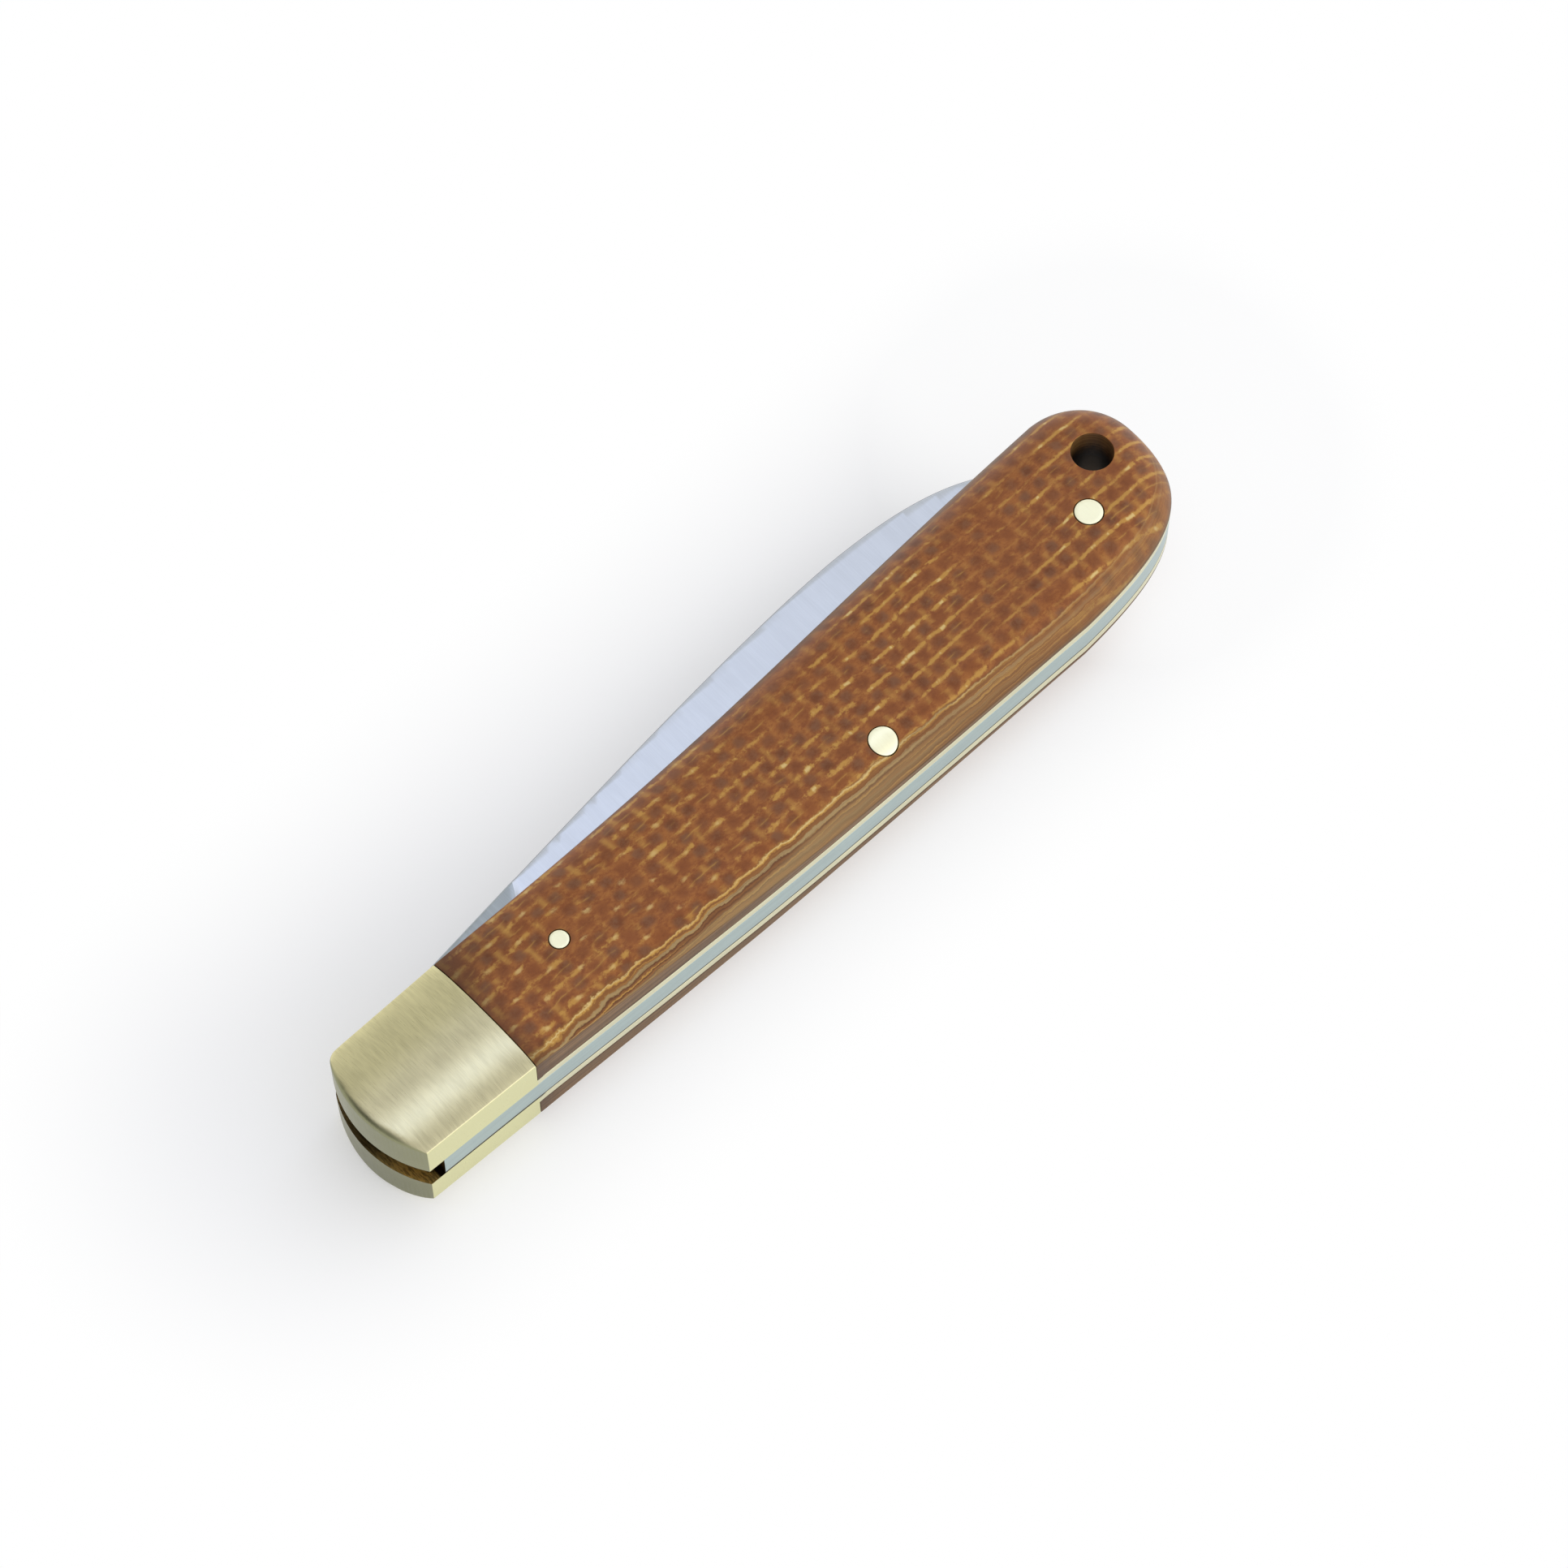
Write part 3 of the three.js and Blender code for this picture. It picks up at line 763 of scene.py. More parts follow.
def laminate_edges(graph, place, plan, axes, colour, look):
    """Duller side faces, painted shade along the slot rim and in the bore, a painted highlight along the
    crease at the back, and darker beside the bolster and next to the liners.
    """
    times, ease = graph.times, graph.ease
    x, y, z = axes
    tilt = graph.size(graph.normal()[2])
    lines = ease(grain(graph, plan, times(z, 5.5), 0.7), 0.38, 0.62)
    sides = graph.mix(lines, look.side_dark, look.side_pale)
    # Painted shade: the rim on the slot side, turned away from the light, takes the side faces' darker
    # colour.
    slot_rim_shade = times(times(ease(tilt, 0.8, 0.5), ease(y, -1.0, 3.0)), 0.8)
    # Painted highlight: a pale line along the crease between crown and side face on the back side, fading
    # towards the butt.
    crease = times(ease(tilt, 0.78, 0.66), ease(tilt, 0.2, 0.5))
    crease = times(crease, times(ease(y, 0.0, -3.0), ease(x, 30.0, -5.0, 0.1, 0.5)))
    joint = UPPER_COVER_Z - MIDDLE_Z
    return graph.coats(
        colour,
        (graph.most(times(ease(tilt, 0.5, 0.15), 0.85), slot_rim_shade), sides),
        (crease, look.layer_pale),
        (ease(x, SEAM_X + 0.2, SEAM_X + 3.0, 0.5, 0.0), look.seam_shade),
        (times(ease(x, SEAM_X + 1.0, SEAM_X + 10.0, 0.5, 0.0), ease(y, -5.0, 3.0)), look.seam_shade),
        (times(ease(off_middle(graph, z), joint + 0.3, joint + 0.1), 0.7), look.seam_shade),
        # Painted shade deep in the lanyard hole.
        (bore_shade_share(graph, place), tuple(part * 0.3 for part in look.seam_shade)),
    )


def woven_laminate():
    """Resin-filled coarse cloth: golden threads and grey cells on the flat, cut layers on the crown."""
    found = bpy.data.materials.get("Woven laminate")
    if found:
        return found
    look = bpy.context.scene.knife_laminate
    material, graph, shader = new_material("Woven laminate", Specular_IOR_Level=0.25)
    place = graph.place()
    x, y, z = graph.split(place)
    plan = graph.join(x, y)
    cloth = weave(graph, plan, x, look)
    layers, stripes, shown = cut_layers(graph, plan, (x, y, z), cloth, look)
    colour = graph.mix(shown, cloth_colour(graph, plan, cloth, look), layers)
    colour = laminate_edges(graph, place, plan, (x, y, z), colour, look)
    graph.feed(shader.inputs["Base Color"], colour)
    graph.feed(shader.inputs["Roughness"], graph.line(cloth.fuzz, 0.16, 0.34))
    relief = graph.add(graph.times(cloth.thread, 0.5), graph.times(stripes, shown))
    graph.feed(shader.inputs["Normal"], graph.bump(relief, 0.2, 0.00004))
    return material


def bolster_tone_and_painted_light(graph, place, tint):
    """Yellower towards the slot, with painted shade on the rounded front end, deeper on the lower bolster,
    and painted light on the back faces.
    """
    look = bpy.context.scene.knife_metal
    forward, back, _ = graph.normal()
    _, y, z = graph.split(place)
    tint = graph.mix(graph.ease(y, -5.0, -0.5), tint, (1.0, 1.0, 0.89), "MULTIPLY")
    under = tuple(part * 0.78 for part in look.front)
    # Painted shade on the faces that look forward, deeper below the middle, and painted light on the faces
    # that look back, as darker and brighter copies of the brass.
    front = graph.mix(graph.ease(z, MIDDLE_Z, SPRING_Z), look.front, under)
    ahead = graph.times(graph.ease(forward, -0.3, -0.75), 0.9)
    return graph.coats(tint, (graph.ease(back, -0.6, -0.95), look.back), (ahead, front))


def liner_soil_and_painted_light(graph, place, tint):
    """The bolster's tone and painted light in front of the seam, mottled soil with painted shade on the
    inner face, and painted shade in the bore.
    """
    look = bpy.context.scene.knife_metal
    ahead = bolster_tone_and_painted_light(graph, place, look.bolster)
    x, y, z = graph.split(place)
    tint = graph.mix(graph.ease(x, SEAM_X, SEAM_X + 0.1), ahead, tint)
    uneven = graph.noise(graph.join(graph.times(x, 5.0), y, z), 1.0, 3.0, 0.6)
    # Painted shade on the inner face: soil away from the back, where the bolster shades it, and a dark
    # wedge before the spring's nose; the noise adds mottled soil where light reaches.
    bare_and_lit = graph.times(graph.ease(uneven, 0.35, 0.6, 0.4, 1.0), graph.ease(y, -3.0, -8.5, 0.15, 1.0))
    bare_and_lit = graph.times(bare_and_lit, graph.ease(x, NOSE_X - 0.5, NOSE_X - 0.9))
    inner = graph.mix(bare_and_lit, look.soil_and_painted_shade, look.aged)
    # Painted shade deep in the lanyard hole.
    bore = bore_shade_share(graph, place)
    flat = graph.less(1.0, upright(graph, 0.95, 0.6))
    return graph.coats(tint, (flat, inner), (bore, look.soil_and_painted_shade))


def spring_painted_shade(graph, place, tint):
    """Painted shade in the bore, on the nose's end and in a thin line beside the liner below."""
    look = bpy.context.scene.knife_metal
    x, _, z = graph.split(place)
    # Painted shade: a thin dark line along the lower edge beside the liner, the nose's end and the bore.
    soil_and_painted_shade = graph.ease(z, SPRING_Z + 0.38, SPRING_Z + 0.2)
    soil_and_painted_shade = graph.most(soil_and_painted_shade, graph.ease(x, NOSE_X + 0.06, NOSE_X + 0.02))
    soil_and_painted_shade = graph.most(soil_and_painted_shade, bore_shade_share(graph, place))
    return graph.mix(soil_and_painted_shade, tint, look.soil_and_painted_shade)


def blade_painted_dark_edges(graph, place, tint):
    """Painted dark reflection on the spine, the rounded edges and other steep faces."""
    look = bpy.context.scene.knife_metal
    return graph.mix(upright(graph, 0.985, 0.75), tint, look.spine)


def metal(name):
    """The finish with that name, made once."""
    found = bpy.data.materials.get(name)
    if found:
        return found
    look = bpy.context.scene.knife_metal
    # Colour, lines per mm, their length, roughness, anisotropy, whether the lines run lengthwise,
    # coat, contrast, relief and the function that paints light, shade and tone
    finishes = {
        "Brushed brass": (look.bolster, 11.0, 2.0, 0.3, 0.75, False, 0.12, 0.13, 0.06, bolster_tone_and_painted_light),
        "Liner brass": (look.liner, 5.0, 9.0, 0.36, 0.0, True, 0.1, 0.08, 0.25, liner_soil_and_painted_light),
        "Pin metal": (look.pin, 6.0, 3.0, 0.42, 0.0, False, 0.1, 0.03, 0.02),
        "Spring steel": (look.spring, 7.0, 12.0, 0.36, 0.0, True, 0.0, 0.08, 0.25, spring_painted_shade),
        "Ground steel": (look.blade, 9.0, 5.0, 0.36, 0.4, False, 0.0, 0.05, 0.2, blade_painted_dark_edges),
        "Ricasso steel": (look.ricasso, 7.0, 6.0, 0.36, 0.3, False, 0.0, 0.08, 0.25),
    }
    colour, *rest = finishes[name]
    return brushed_metal(name, tuple(colour), *rest)


# Settings


def colour_setting(name, default, description):
    limits = {"size": 3, "min": 0, "max": 1, "subtype": "COLOR"}
    return FloatVectorProperty(name=name, description=description, default=default, **limits)


def length_setting(name, default, description):
    unit = {"min": 0, "unit": "LENGTH", "subtype": "DISTANCE", "precision": 5}
    return FloatProperty(name=name, description=description, default=default, **unit)


def level_setting(name, default, description, highest=10):
    return FloatProperty(name=name, description=description, default=default, min=0, max=highest)


def point_setting(name, default, description):
    unit = {"subtype": "XYZ", "unit": "LENGTH"}
    return FloatVectorProperty(name=name, description=description, default=default, **unit)


class KnifeEdgeSettings(bpy.types.PropertyGroup):
    """Small roundings that the metal and the laminate show."""

    crease: length_setting("Crease", 0.00014, "Softness of the crease under the crown, at the bolster")
    front_round: length_setting("Front round", 0.0009, "Radius of the bolsters' rounded front edge")
    seam_round: length_setting("Seam round", 0.00009, "Radius of the edges on both sides of the seam")
    seam_gap: length_setting("Seam gap", 0.00006, "Gap between a bolster and its scale")
    layer_round: length_setting("Layer round", 0.0001, "Radius of the long edges of the layers")
    pin_gap: length_setting("Pin gap", 0.00009, "Gap round a pin's end")
    pin_round: length_setting("Pin round", 0.00006, "Radius of the rim of a pin's end")
    blade_round: length_setting("Blade round", 0.00022, "Radius of the blade's edges")
    lanyard_round: length_setting("Lanyard round", 0.00012, "Radius of the lanyard hole's rim")


class KnifeLaminateSettings(bpy.types.PropertyGroup):
    """The woven laminate of the scales."""

    thread_pitch: length_setting("Thread pitch", 0.00205, "Distance between two threads of the cloth")
    crest_pitch: length_setting("Crest pitch", 0.00228, "Distance from a thread's crest to its trough")
    thread_angle: FloatProperty(
        name="Thread angle",
        description="Turn of the cloth from the handle's own direction",
        default=math.radians(1.5),
        subtype="ANGLE",
    )
    layer_pitch: length_setting("First layer", 0.0006, "Thickness of the outer cloth")
    brown: colour_setting("Brown", (0.233, 0.069, 0.017), "Lighter resin between the threads")
    dark: colour_setting("Dark brown", (0.13, 0.038, 0.01), "Darker resin between the threads")
    orange: colour_setting("Orange", (0.345, 0.124, 0.028), "Faint threads under the surface")
    grey: colour_setting("Grey", (0.186, 0.0931, 0.0517), "Spots of cloth under the surface")
    gold: colour_setting("Gold", (0.53, 0.285, 0.06), "Threads at the surface")
    pale: colour_setting("Pale gold", (0.704, 0.517, 0.207), "Crests of the threads")
    layer_dark: colour_setting("Layer dark", (0.114, 0.0373, 0.0103), "Lines between two cut layers")
    layer_brown: colour_setting("Layer brown", (0.248, 0.0983, 0.0248), "Cut resin")
    layer_pale: colour_setting("Layer pale", (0.362, 0.243, 0.103), "Cut cloth")
    side_dark: colour_setting("Side dark", (0.09, 0.041, 0.012), "Darker lines of the side faces")
    side_pale: colour_setting("Side pale", (0.195, 0.11, 0.045), "Lighter lines of the side faces")
    seam_shade: colour_setting("Seam shade", (0.0621, 0.0269, 0.0124), "Darkening beside the bolster")


class KnifeMetalSettings(bpy.types.PropertyGroup):
    """Colours of the metal pieces."""

    bolster: colour_setting("Bolster", (0.66, 0.61, 0.385), "Brushed brass of the bolsters")
    # Front and Back are painted shade and painted light: a darker and a brighter copy of the bolster's
    # brass.
    front: colour_setting("Front", (0.25, 0.255, 0.14), "Painted shade on the bolsters' rounded front end")
    back: colour_setting("Back", (0.75, 0.73, 0.41), "Painted light on the bolsters' back faces")
    liner: colour_setting("Liner", (0.74, 0.71, 0.49), "Satin brass of the liners")
    pin: colour_setting("Pin", (1.0, 0.97, 0.7), "Pale metal of the pins")
    spring: colour_setting("Spring", (0.44, 0.53, 0.52), "Steel of the backspring")
    blade: colour_setting("Blade", (0.6, 0.635, 0.68), "Satin steel of the blade")
    ricasso: colour_setting("Ricasso", (0.4, 0.44, 0.46), "Steel of the tang and ricasso")
    # Spine is a painted dark reflection on the blade's steep faces.
    spine: colour_setting("Spine", (0.13, 0.145, 0.165), "Painted dark reflection on the blade's spine and steep faces")
    aged: colour_setting("Aged brass", (1.0, 0.74, 0.26), "Brass inside the handle")
    # Soil is mottled soil on the liners' inner faces and painted shade there, in the bore and on the
    # spring.
    soil_and_painted_shade: colour_setting("Soil", (0.035, 0.02, 0.008), "Soil and painted shade inside the handle")


class KnifeStageSettings(bpy.types.PropertyGroup):
    """Floor, light and camera."""

    floor: colour_setting("Floor", (0.99, 0.99, 0.99), "Colour of the floor")
    floor_lift: level_setting("Floor lift", 0.3, "Share of plain white in the floor beside the handle", 1)
    sky: colour_setting("Surroundings", (1.0, 1.0, 1.0), "Colour of the light all round")
    cool: colour_setting("Cool light", (0.7, 0.77, 1.0), "Colour of the bright band overhead")
    sky_level: level_setting("Surroundings level", 0.68, "Strength of the light overhead")
    low_level: level_setting("Low level", 0.55, "Extra strength of the light near the floor")
    band_level: level_setting("Band level", 1.5, "Extra strength of the bright band overhead")
    key_level: level_setting("Key level", 0.75, "Extra strength of the light from the back's side")
    dark_share: level_setting("Dark share", 0.92, "How much darker the surroundings are in front", 1)
    lens: FloatProperty(name="Lens", description="Focal length of the camera in millimetres", default=111.8)
    aim: point_setting("Aim", (0.00383, -0.00037, 0), "Point that the camera looks at")
    eye: point_setting("Eye", (-0.1595, -0.1743, 0.4394), "Place of the camera")


# Pieces


def pin_holes(gap):
    """Holes of both spring pins and of a scale pin, as centre and radius."""
    pins = ((MIDDLE_PIN, SPRING_PIN_RADIUS), (END_PIN, SPRING_PIN_RADIUS), (SCALE_PIN, SCALE_PIN_RADIUS))
    return [(centre, radius + gap) for centre, radius in pins]


def holed_plan(loop, holes, guides=(), rims=(), fill=()):
    """A plan with round holes, and rings beside them for their rounded rims."""
    rings = looped(circle(c, r + wide) for c, r in holes for wide in rims)
    return triangulate(loop, [circle(c, r) for c, r in holes], [*guides, *rings], fill)


def rounding(line, radius, closed=False):
    """Lines beside an edge along which its rounding bends."""
    return [offset(line, radius * share, closed) for share in (0.13, 0.5, 1)]


def front_rounding(radius, *turns):
    """Lines behind the front edge at which its rounding has turned by these degrees."""
    return [offset(FRONT, radius * (1 - math.cos(math.radians(turn)))) for turn in turns]


def across(x):
    """A straight line across the handle."""
    return np.array([[x, -14], [x, 6]])


def covers(kind, plan, cut, inner, material):
    """The upper and the lower cover, thinner by the cut outside and by inner beside the liners."""
    for side, base, sign, at_seam in (
        ("upper", UPPER_COVER_Z, 1, SIDE_UPPER),
        ("lower", LOWER_LINER_Z, -1, SIDE_LOWER),
    ):
        node = f"{side}_{kind}"
        outer = base + sign * (crown(plan[0], at_seam) - cut)
        low, high = (base + sign * inner, outer)[::sign]
        piece = slab(f"{node}_cover", plan, low, high, material)
        settle(piece, "handle", kind, node)


class KNIFE_OT_scales(bpy.types.Operator):
    """Build both woven laminate scales"""

    bl_idname = "knife.scales"
    bl_label = "Scales"

    def execute(self, context):
        edges = context.scene.knife_edges
        gap, seam, wide = edges.pin_gap * MM, edges.seam_round * MM, edges.lanyard_round * MM
        start = SEAM_X + edges.seam_gap * MM
        holes = [*pin_holes(gap), (LANYARD, LANYARD_RADIUS)]
        guides = crown_guides() + [across(start + inset) for inset in (seam * 0.3, seam)]
        plan = holed_plan(scale_plan(), holes, guides, (gap, wide * 0.4, wide))
        flat = plan[0]
        cut = drop(flat[:, 0] - start, seam)
        for (centre, radius), rim in zip(holes, (gap, gap, gap, wide)):
            cut = cut + drop(np.linalg.norm(flat - centre, axis=1) - radius, rim)
        inner = drop(nearest(flat, RIM)[0], edges.layer_round * MM)
        covers("scale", plan, cut, inner, woven_laminate())
        return {"FINISHED"}


class KNIFE_OT_bolsters(bpy.types.Operator):
    """Build both brushed bolsters"""

    bl_idname = "knife.bolsters"
    bl_label = "Bolsters"

    def execute(self, context):
        edges = context.scene.knife_edges
        radius, seam = edges.front_round * MM, edges.seam_round * MM
        start, least = SEAM_X - SKIN, 0.12
        guides = crown_guides() + [across(start - inset) for inset in (seam * 0.3, seam)]
        guides += front_rounding(radius, 15, 30, 45, 60, 75, 90) + front_rounding(least, 22, 45, 67, 90)
        plan = triangulate(bolster_plan(), guides=guides)
        flat = plan[0]
        radii = np.interp(nearest(flat, RIM)[0], [0, 1.5, 4], [least, radius / 2, radius])
        cut = drop(nearest(flat, FRONT)[0], radii) + drop(start - flat[:, 0], seam)
        covers("bolster", plan, cut, 0, metal("Brushed brass"))
        return {"FINISHED"}


class KNIFE_OT_liners(bpy.types.Operator):
    """Build both brass liners"""

    bl_idname = "knife.liners"
    bl_label = "Liners"

    def execute(self, context):
        radius = context.scene.knife_edges.layer_round * MM
        holes = [*pin_holes(PIN_ROOM), (LANYARD, LANYARD_RADIUS), (PIVOT, PIVOT_RADIUS + PIN_ROOM)]
        plan = holed_plan(whole_plan(), holes, rounding(RIM, radius))
        flat = plan[0]
        behind = np.interp(flat[:, 0], [SEAM_X, SEAM_X + 0.3], [0.002, radius])
        cut = drop(nearest(flat, RIM)[0], behind)
        for name, low in (("upper_liner", UPPER_LINER_Z), ("lower_liner", LOWER_LINER_Z)):
            high = low + (UPPER_COVER_Z - UPPER_LINER_Z)
            piece = slab(f"{name}_plate", plan, low + cut, high - cut, metal("Liner brass"))
            settle(piece, "handle", "liner", name)
        return {"FINISHED"}


# Curves and sizes of the blade, folded
TANG_HALF = 4.15
TANG_CORNER_RADIUS = 1.2
KICK_REACH = 8.8
SPINE_HALF = 1.3
SPINE_THINNING = 1.0
EDGE_HALF = 0.12
PLUNGE_WIDTH = 1.3
HEEL = np.array([PIVOT[0] + 4.05, 4.7])
PLUNGE_SPINE = np.array([SEAM_X + 12.5, 6.95])
PLUNGE_EDGE = np.array([PIVOT[0] + 11.1, -5.6])
TIP = np.array([BUTT_X - 10.4, 6.5])
CREST = np.array([BUTT_X - 31.6, 12.39])
HALF_TANG = span("blade")[1].z - MIDDLE_Z
SPINE_AHEAD = bezier([PLUNGE_SPINE, PLUNGE_SPINE + (17, 2.3), CREST - (11, 0), CREST], 60)
SPINE_BEHIND = bezier([CREST, CREST + (10.3, 0), TIP + (-4.2, 4.3), TIP], 60)
SPINE = np.vstack([SPINE_AHEAD, SPINE_BEHIND[1:]])
EDGE = bezier([PLUNGE_EDGE, (BUTT_X - 35.8, -5.6), (TIP[0] - 8.4, -5.6), (TIP[0], TIP[1] - 0.4)], 110)
PLUNGE_TOP = [PLUNGE_SPINE + (0.35, 0.8), PLUNGE_SPINE]
PLUNGE_FOOT = [PLUNGE_EDGE, PLUNGE_EDGE - (1.5, 1.0)]
PLUNGE = smooth_line([*PLUNGE_TOP, (-28.0, 5.3), (-30.6, 1.6), *PLUNGE_FOOT], 10)


def blade_loop():
    """Closed outline of the blade: kick, cutting edge, tip, spine, heel and square tang."""
    inner = TANG_HALF - TANG_CORNER_RADIUS
    kick = PIVOT + (KICK_REACH, -TANG_HALF)
    turn = (kick[0], PLUNGE_EDGE[1])
    t = np.linspace(0, 1, 9)[:, None]
    choil = (1 - t) ** 2 * kick + 2 * t * (1 - t) * np.array(turn) + t**2 * PLUNGE_EDGE
    shoulder = np.array([HEEL[0], PIVOT[1] + TANG_HALF])
    high = arc(PIVOT + (-inner, inner), TANG_CORNER_RADIUS, math.pi / 2, math.pi, 10)
    low = arc(PIVOT + (-inner, -inner), TANG_CORNER_RADIUS, math.pi, math.pi * 1.5, 10)
    return np.vstack([choil, EDGE[1:], SPINE[::-1], [HEEL], [shoulder], high, low])


def blade_half(points):
    """Half of the blade's thickness, full at the tang and ground behind the plunge line, and whether
    a point lies ahead of the grind."""
    x, y = points[:, 0], points[:, 1]
    spine = height_at(SPINE, x)
    edge = height_at(EDGE, x)
    share = np.clip((x - PLUNGE_SPINE[0]) / (TIP[0] - PLUNGE_SPINE[0]), 0, 1)
    at_spine = SPINE_HALF - SPINE_THINNING * share**3
    up = np.clip((y - edge) / np.maximum(spine - edge, 0.05), 0, 1)
    ground = EDGE_HALF + (at_spine - EDGE_HALF) * up
    order = np.argsort(PLUNGE[:, 1])
    line = np.interp(y, PLUNGE[order, 1], PLUNGE[order, 0])
    blend = np.clip((x - line) / PLUNGE_WIDTH, 0, 1)
    blend = blend * blend * (3 - 2 * blend)
    return HALF_TANG + (ground - HALF_TANG) * blend, x < line + 0.5


class KNIFE_OT_blade(bpy.types.Operator):
    """Build the folded blade with its tang"""

    bl_idname = "knife.blade"
    bl_label = "Blade"

    def execute(self, context):
        radius = context.scene.knife_edges.blade_round * MM
        loop = blade_loop()
        guides = looped(rounding(loop, radius, True))
        guides += [PLUNGE + (PLUNGE_WIDTH * share, 0) for share in (0, 0.2, 0.4, 0.6, 0.8, 1)]
        grid = np.stack(np.meshgrid(np.arange(-40, 46, 0.8), np.arange(-6, 13, 0.8)), -1).reshape(-1, 2)
        grid = grid[inside(grid, loop)]
        grid = grid[nearest(grid, loop, True)[0] > 0.3]
        plan = holed_plan(loop, [(PIVOT, PIVOT_RADIUS + TANG_ROOM)], guides, fill=grid)
        flat, faces = plan
        half, _ = blade_half(flat)
        rim = np.minimum(drop(nearest(flat, loop, True)[0], radius), half - 0.03)
        _, plain = blade_half(flat[faces].mean(1))
        low, high = MIDDLE_Z - half + rim, MIDDLE_Z + half - rim
        piece = slab("blade_ground", plan, low, high, metal("Ground steel"), metal("Ricasso steel"), plain)
        settle(piece, "blade", "blade", "blade")
        return {"FINISHED"}


class KNIFE_OT_spring(bpy.types.Operator):
    """Build the backspring"""

    bl_idname = "knife.spring"
    bl_label = "Backspring"

    def execute(self, context):
        radius = context.scene.knife_edges.layer_round * MM
        nose_y = PIVOT[1] - NOSE_REACH
        back = offset(BACK_EDGE, SKIN)
        back = back[back[:, 0] > NOSE_X]
        start = [NOSE_X, height_at(back, NOSE_X)]
        butt = offset(BUTT_LOWER, SKIN)[1:]
        upper = offset(bezier(BUTT_UPPER_POINTS, 28, TAIL_SHARE), SKIN)[1:]
        clear = offset(EDGE, -EDGE_ROOM)[::-1]
        clear = clear[clear[:, 0] > MIDDLE_PIN[0]]
        nose = [[PLUNGE_EDGE[0], nose_y], [NOSE_X, nose_y]]
        loop = np.vstack([[start], back, butt, upper, clear, nose])
        holes = [*pin_holes(PIN_ROOM)[:2], (LANYARD, LANYARD_RADIUS)]
        plan = holed_plan(loop, holes, rounding(RIM, radius))
        cut = drop(nearest(plan[0], RIM)[0], radius)
        low, high = SPRING_Z + cut * 1.5, UPPER_LINER_Z - cut * 0.4
        piece = slab("backspring_bar", plan, low, high, metal("Spring steel"))
        settle(piece, "handle", "spring", "backspring")
        return {"FINISHED"}


class KNIFE_OT_pins(bpy.types.Operator):
    """Build the pins, ground flush with the covers"""

    bl_idname = "knife.pins"
    bl_label = "Pins"

    def execute(self, context):
        radius = context.scene.knife_edges.pin_round * MM
        for name, centre, size, ends in (
            ("middle_spring_pin", MIDDLE_PIN, SPRING_PIN_RADIUS, "both"),
            ("end_spring_pin", END_PIN, SPRING_PIN_RADIUS, "both"),
            ("upper_scale_pin", SCALE_PIN, SCALE_PIN_RADIUS, "upper"),
            ("lower_scale_pin", SCALE_PIN, SCALE_PIN_RADIUS, "lower"),
            ("pivot_pin", PIVOT, PIVOT_RADIUS, "hidden"),
        ):
            rings = [circle(centre, size - radius * share) for share in (0.15, 0.5, 1)]
            rings += [circle(centre, size * share, 24) for share in (0.7, 0.4)]
            plan = triangulate(circle(centre, size), guides=looped(rings))
            flat = plan[0]
            cut = drop(size - np.linalg.norm(flat - centre, axis=1), radius)
            sunk = PIVOT_SUNK if ends == "hidden" else 0.0
            high = UPPER_COVER_Z + crown(flat, SIDE_UPPER) - cut - sunk
            low = LOWER_LINER_Z - crown(flat, SIDE_LOWER) + cut + sunk
            if ends == "upper":
                low = np.full(len(flat), UPPER_LINER_Z)
            if ends == "lower":
                high = np.full(len(flat), SPRING_Z)
            piece = slab(f"{name}_end", plan, low, high, metal("Pin metal"))
            settle(piece, "handle", "bolster" if ends == "hidden" else "pin", name)
        return {"FINISHED"}


# Stage, in metres
FLOOR_RADIUS = 3.0
FLOOR_GAP = 0.00005


def pale_floor(look):
    """A matt floor that turns to plain white away from the handle, to the camera and in reflections."""
    material, graph, shader = new_material("Pale floor", Roughness=0.9, Specular_IOR_Level=0.1)
    tone = graph.noise(graph.place(), 0.02)
    duller = tuple(part * 0.99 for part in look.floor)
    graph.feed(shader.inputs["Base Color"], graph.mix(tone, look.floor, duller))
    path = graph.node("ShaderNodeLightPath").outputs
    seen = graph.add(path["Is Camera Ray"], path["Is Glossy Ray"])
    seen = graph.math("MINIMUM", graph.add(seen, path["Is Transmission Ray"]), 1.0)
    x, y, _ = graph.split(graph.place())
    past = graph.most(graph.less(graph.size(x), BUTT_X), 0.0)
    away = graph.vector("LENGTH", graph.join(past, graph.less(y, 5.0)))
    lift = graph.ease(away.outputs["Value"], 8.0, 34.0, look.floor_lift, 1.0)
    lift = graph.most(lift, graph.ease(x, 22.0, 48.0, 0.0, 0.8))
    white = graph.node("ShaderNodeEmission", (1.0, 1.0, 1.0), 1.0).outputs[0]
    both = graph.node("ShaderNodeMixShader", graph.times(seen, lift), shader.outputs[0], white)
    graph.feed(material.node_tree.nodes["Material Output"].inputs["Surface"], both.outputs[0])
    return material


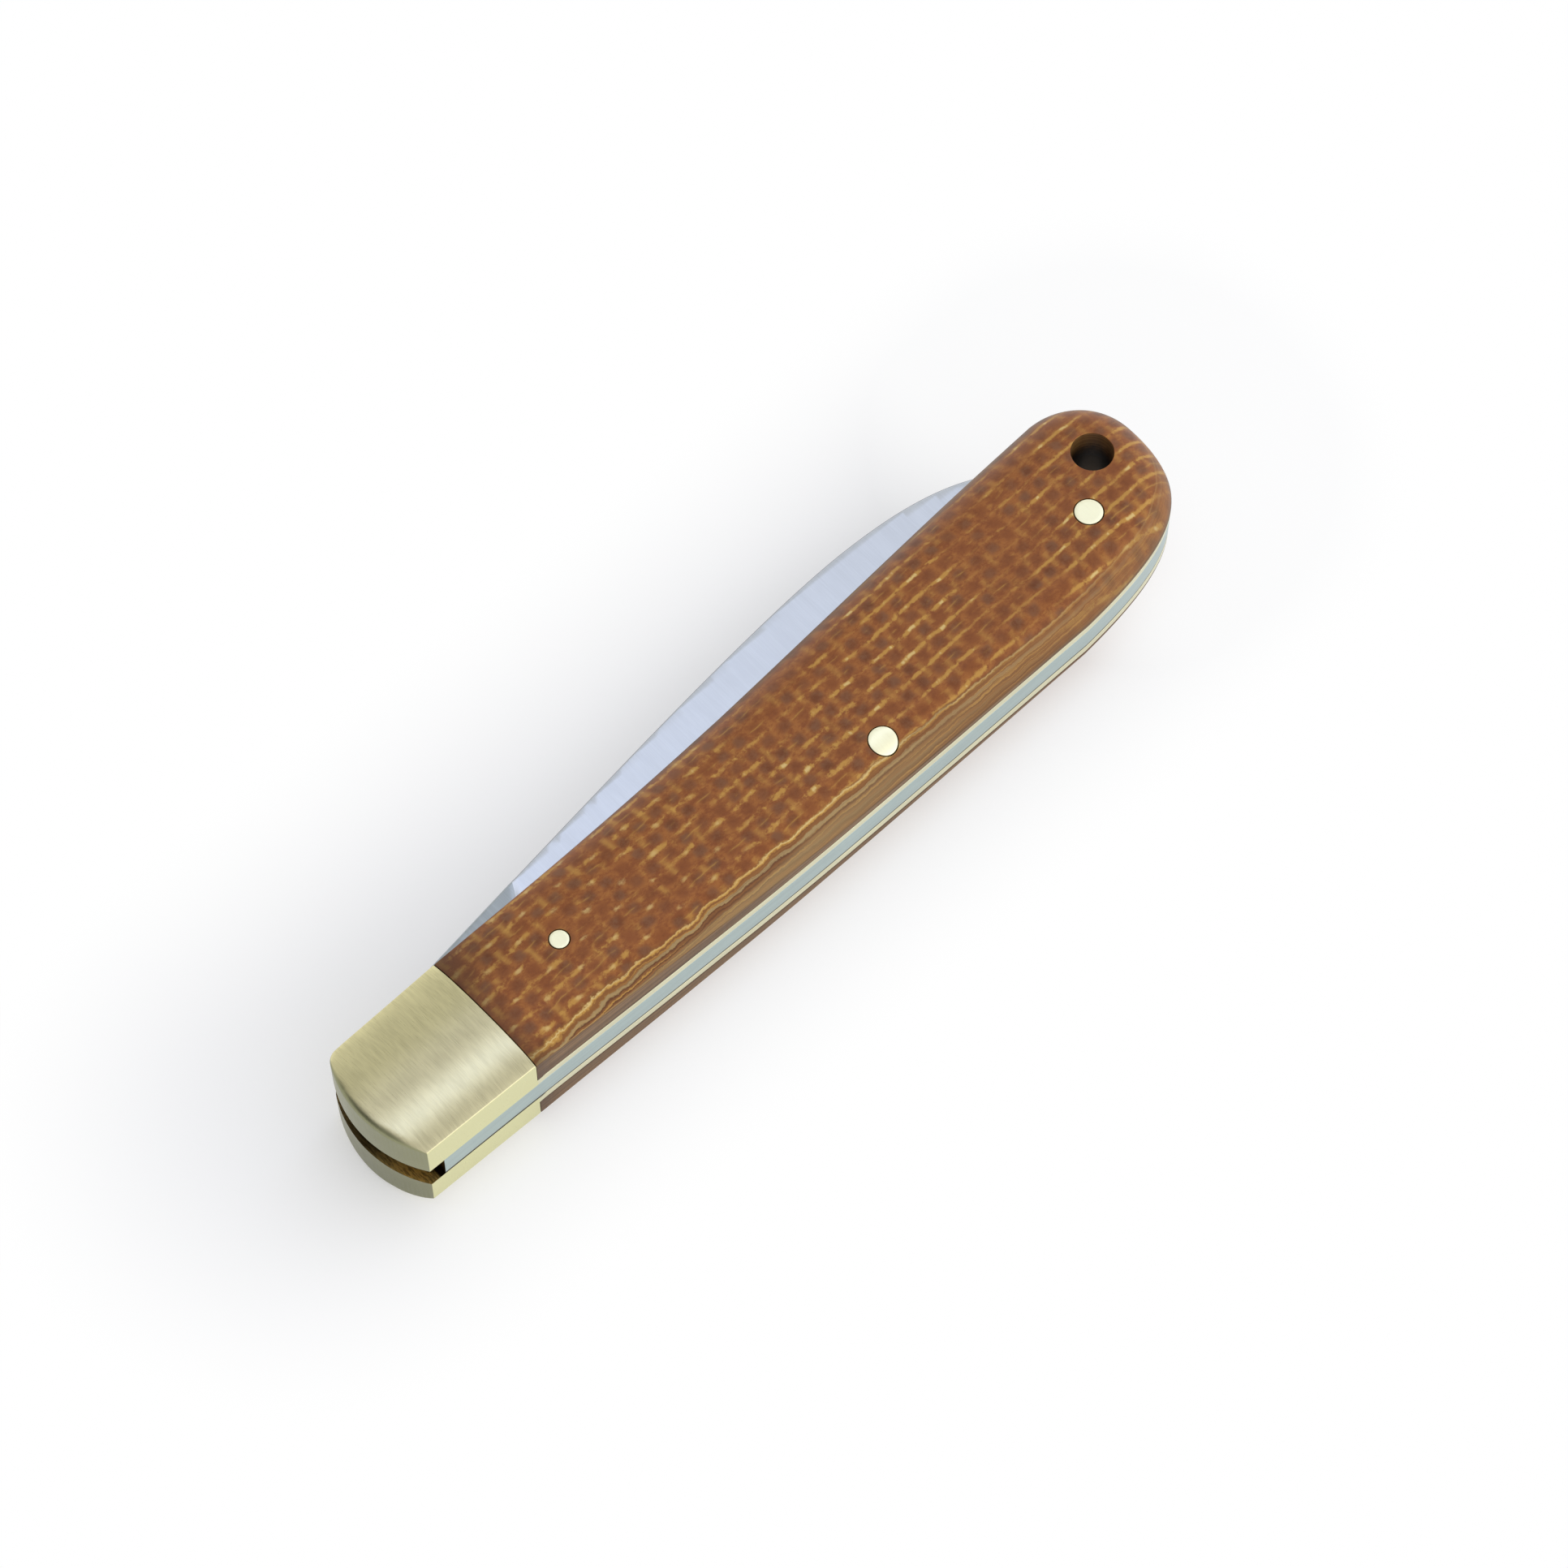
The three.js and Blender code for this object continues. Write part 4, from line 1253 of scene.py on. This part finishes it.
def surround(look):
    """Even light all round, darker in front, with a soft band overhead along the handle and a key
    from the back's side."""
    world = bpy.data.worlds.new("Surroundings")
    bpy.context.scene.world = world
    world.use_nodes = True
    graph = Graph(world.node_tree)
    sky = world.node_tree.nodes["Background"]
    toward = graph.node("ShaderNodeTexCoord").outputs["Generated"]

    def beside(axis):
        return graph.vector("DOT_PRODUCT", toward, Vector(axis).normalized()).outputs["Value"]

    def bell(value):
        return graph.math("EXPONENT", graph.times(value, -1.0))

    spread = 0.0
    for axis, width in (((0.0, 0.989, -0.148), 0.12), ((0.945, -0.034, -0.326), 0.65)):
        share = graph.math("DIVIDE", beside(axis), width)
        spread = graph.line(share, share, spread)
    upward = graph.split(toward)[2]
    band = graph.times(bell(spread), graph.ease(upward, 0.0, 0.4))
    key = bell(graph.line(beside((0.3, -0.85, 0.43)), -6.0, 6.0))
    level = graph.ease(upward, 0.9, 0.0, look.sky_level, look.sky_level + look.low_level)
    level = graph.line(band, look.band_level, level)
    level = graph.line(key, look.key_level, level)
    dark = bell(graph.line(beside((-0.88, 0.32, 0.25)), -5.0, 5.0))
    level = graph.times(level, graph.line(dark, -look.dark_share, 1.0))
    graph.feed(sky.inputs["Color"], graph.mix(band, look.sky, look.cool))
    graph.feed(sky.inputs["Strength"], level)


class KNIFE_OT_stage(bpy.types.Operator):
    """Build the floor, the surroundings and the camera"""

    bl_idname = "knife.stage"
    bl_label = "Stage"

    def execute(self, context):
        look = context.scene.knife_stage
        work = bmesh.new()
        bmesh.ops.create_circle(work, cap_ends=True, segments=96, radius=FLOOR_RADIUS)
        mesh = bpy.data.meshes.new("floor")
        work.to_mesh(mesh)
        work.free()
        floor = bpy.data.objects.new("floor", mesh)
        floor.location.z = -FLOOR_GAP
        context.scene.collection.objects.link(floor)
        mesh.materials.append(pale_floor(look))
        surround(look)

        camera = bpy.data.objects.new("Camera", bpy.data.cameras.new("Camera"))
        camera.data.lens = look.lens
        camera.data.sensor_width = 36
        camera.data.clip_start = 0.01
        camera.location = look.eye
        gaze = Vector(look.aim) - Vector(look.eye)
        camera.rotation_euler = gaze.to_track_quat("-Z", "Y").to_euler()
        context.scene.collection.objects.link(camera)
        context.scene.camera = camera
        context.scene.view_settings.view_transform = "Standard"
        return {"FINISHED"}


OPERATORS = (
    KNIFE_OT_scales,
    KNIFE_OT_bolsters,
    KNIFE_OT_liners,
    KNIFE_OT_spring,
    KNIFE_OT_blade,
    KNIFE_OT_pins,
    KNIFE_OT_stage,
)
SETTINGS = {
    "knife_edges": KnifeEdgeSettings,
    "knife_laminate": KnifeLaminateSettings,
    "knife_metal": KnifeMetalSettings,
    "knife_stage": KnifeStageSettings,
}


class KNIFE_PT_panel(bpy.types.Panel):
    """Buttons and settings of the knife"""

    bl_label = "Folding Pocket Knife"
    bl_idname = "KNIFE_PT_panel"
    bl_space_type = "VIEW_3D"
    bl_region_type = "UI"
    bl_category = "Knife"

    def draw(self, context):
        for operator in OPERATORS:
            self.layout.operator(operator.bl_idname)
        for name, settings in SETTINGS.items():
            box = self.layout.box()
            for field in settings.__annotations__:
                box.prop(getattr(context.scene, name), field)


def register():
    for made in (*SETTINGS.values(), *OPERATORS, KNIFE_PT_panel):
        bpy.utils.register_class(made)
    for name, settings in SETTINGS.items():
        setattr(bpy.types.Scene, name, PointerProperty(type=settings))


def unregister():
    for name in SETTINGS:
        delattr(bpy.types.Scene, name)
    for made in reversed((*SETTINGS.values(), *OPERATORS, KNIFE_PT_panel)):
        bpy.utils.unregister_class(made)


def main():
    register()
    bpy.ops.knife.scales()
    bpy.ops.knife.bolsters()
    bpy.ops.knife.liners()
    bpy.ops.knife.spring()
    bpy.ops.knife.blade()
    bpy.ops.knife.pins()
    bpy.ops.knife.stage()


if __name__ == "__main__":
    main()
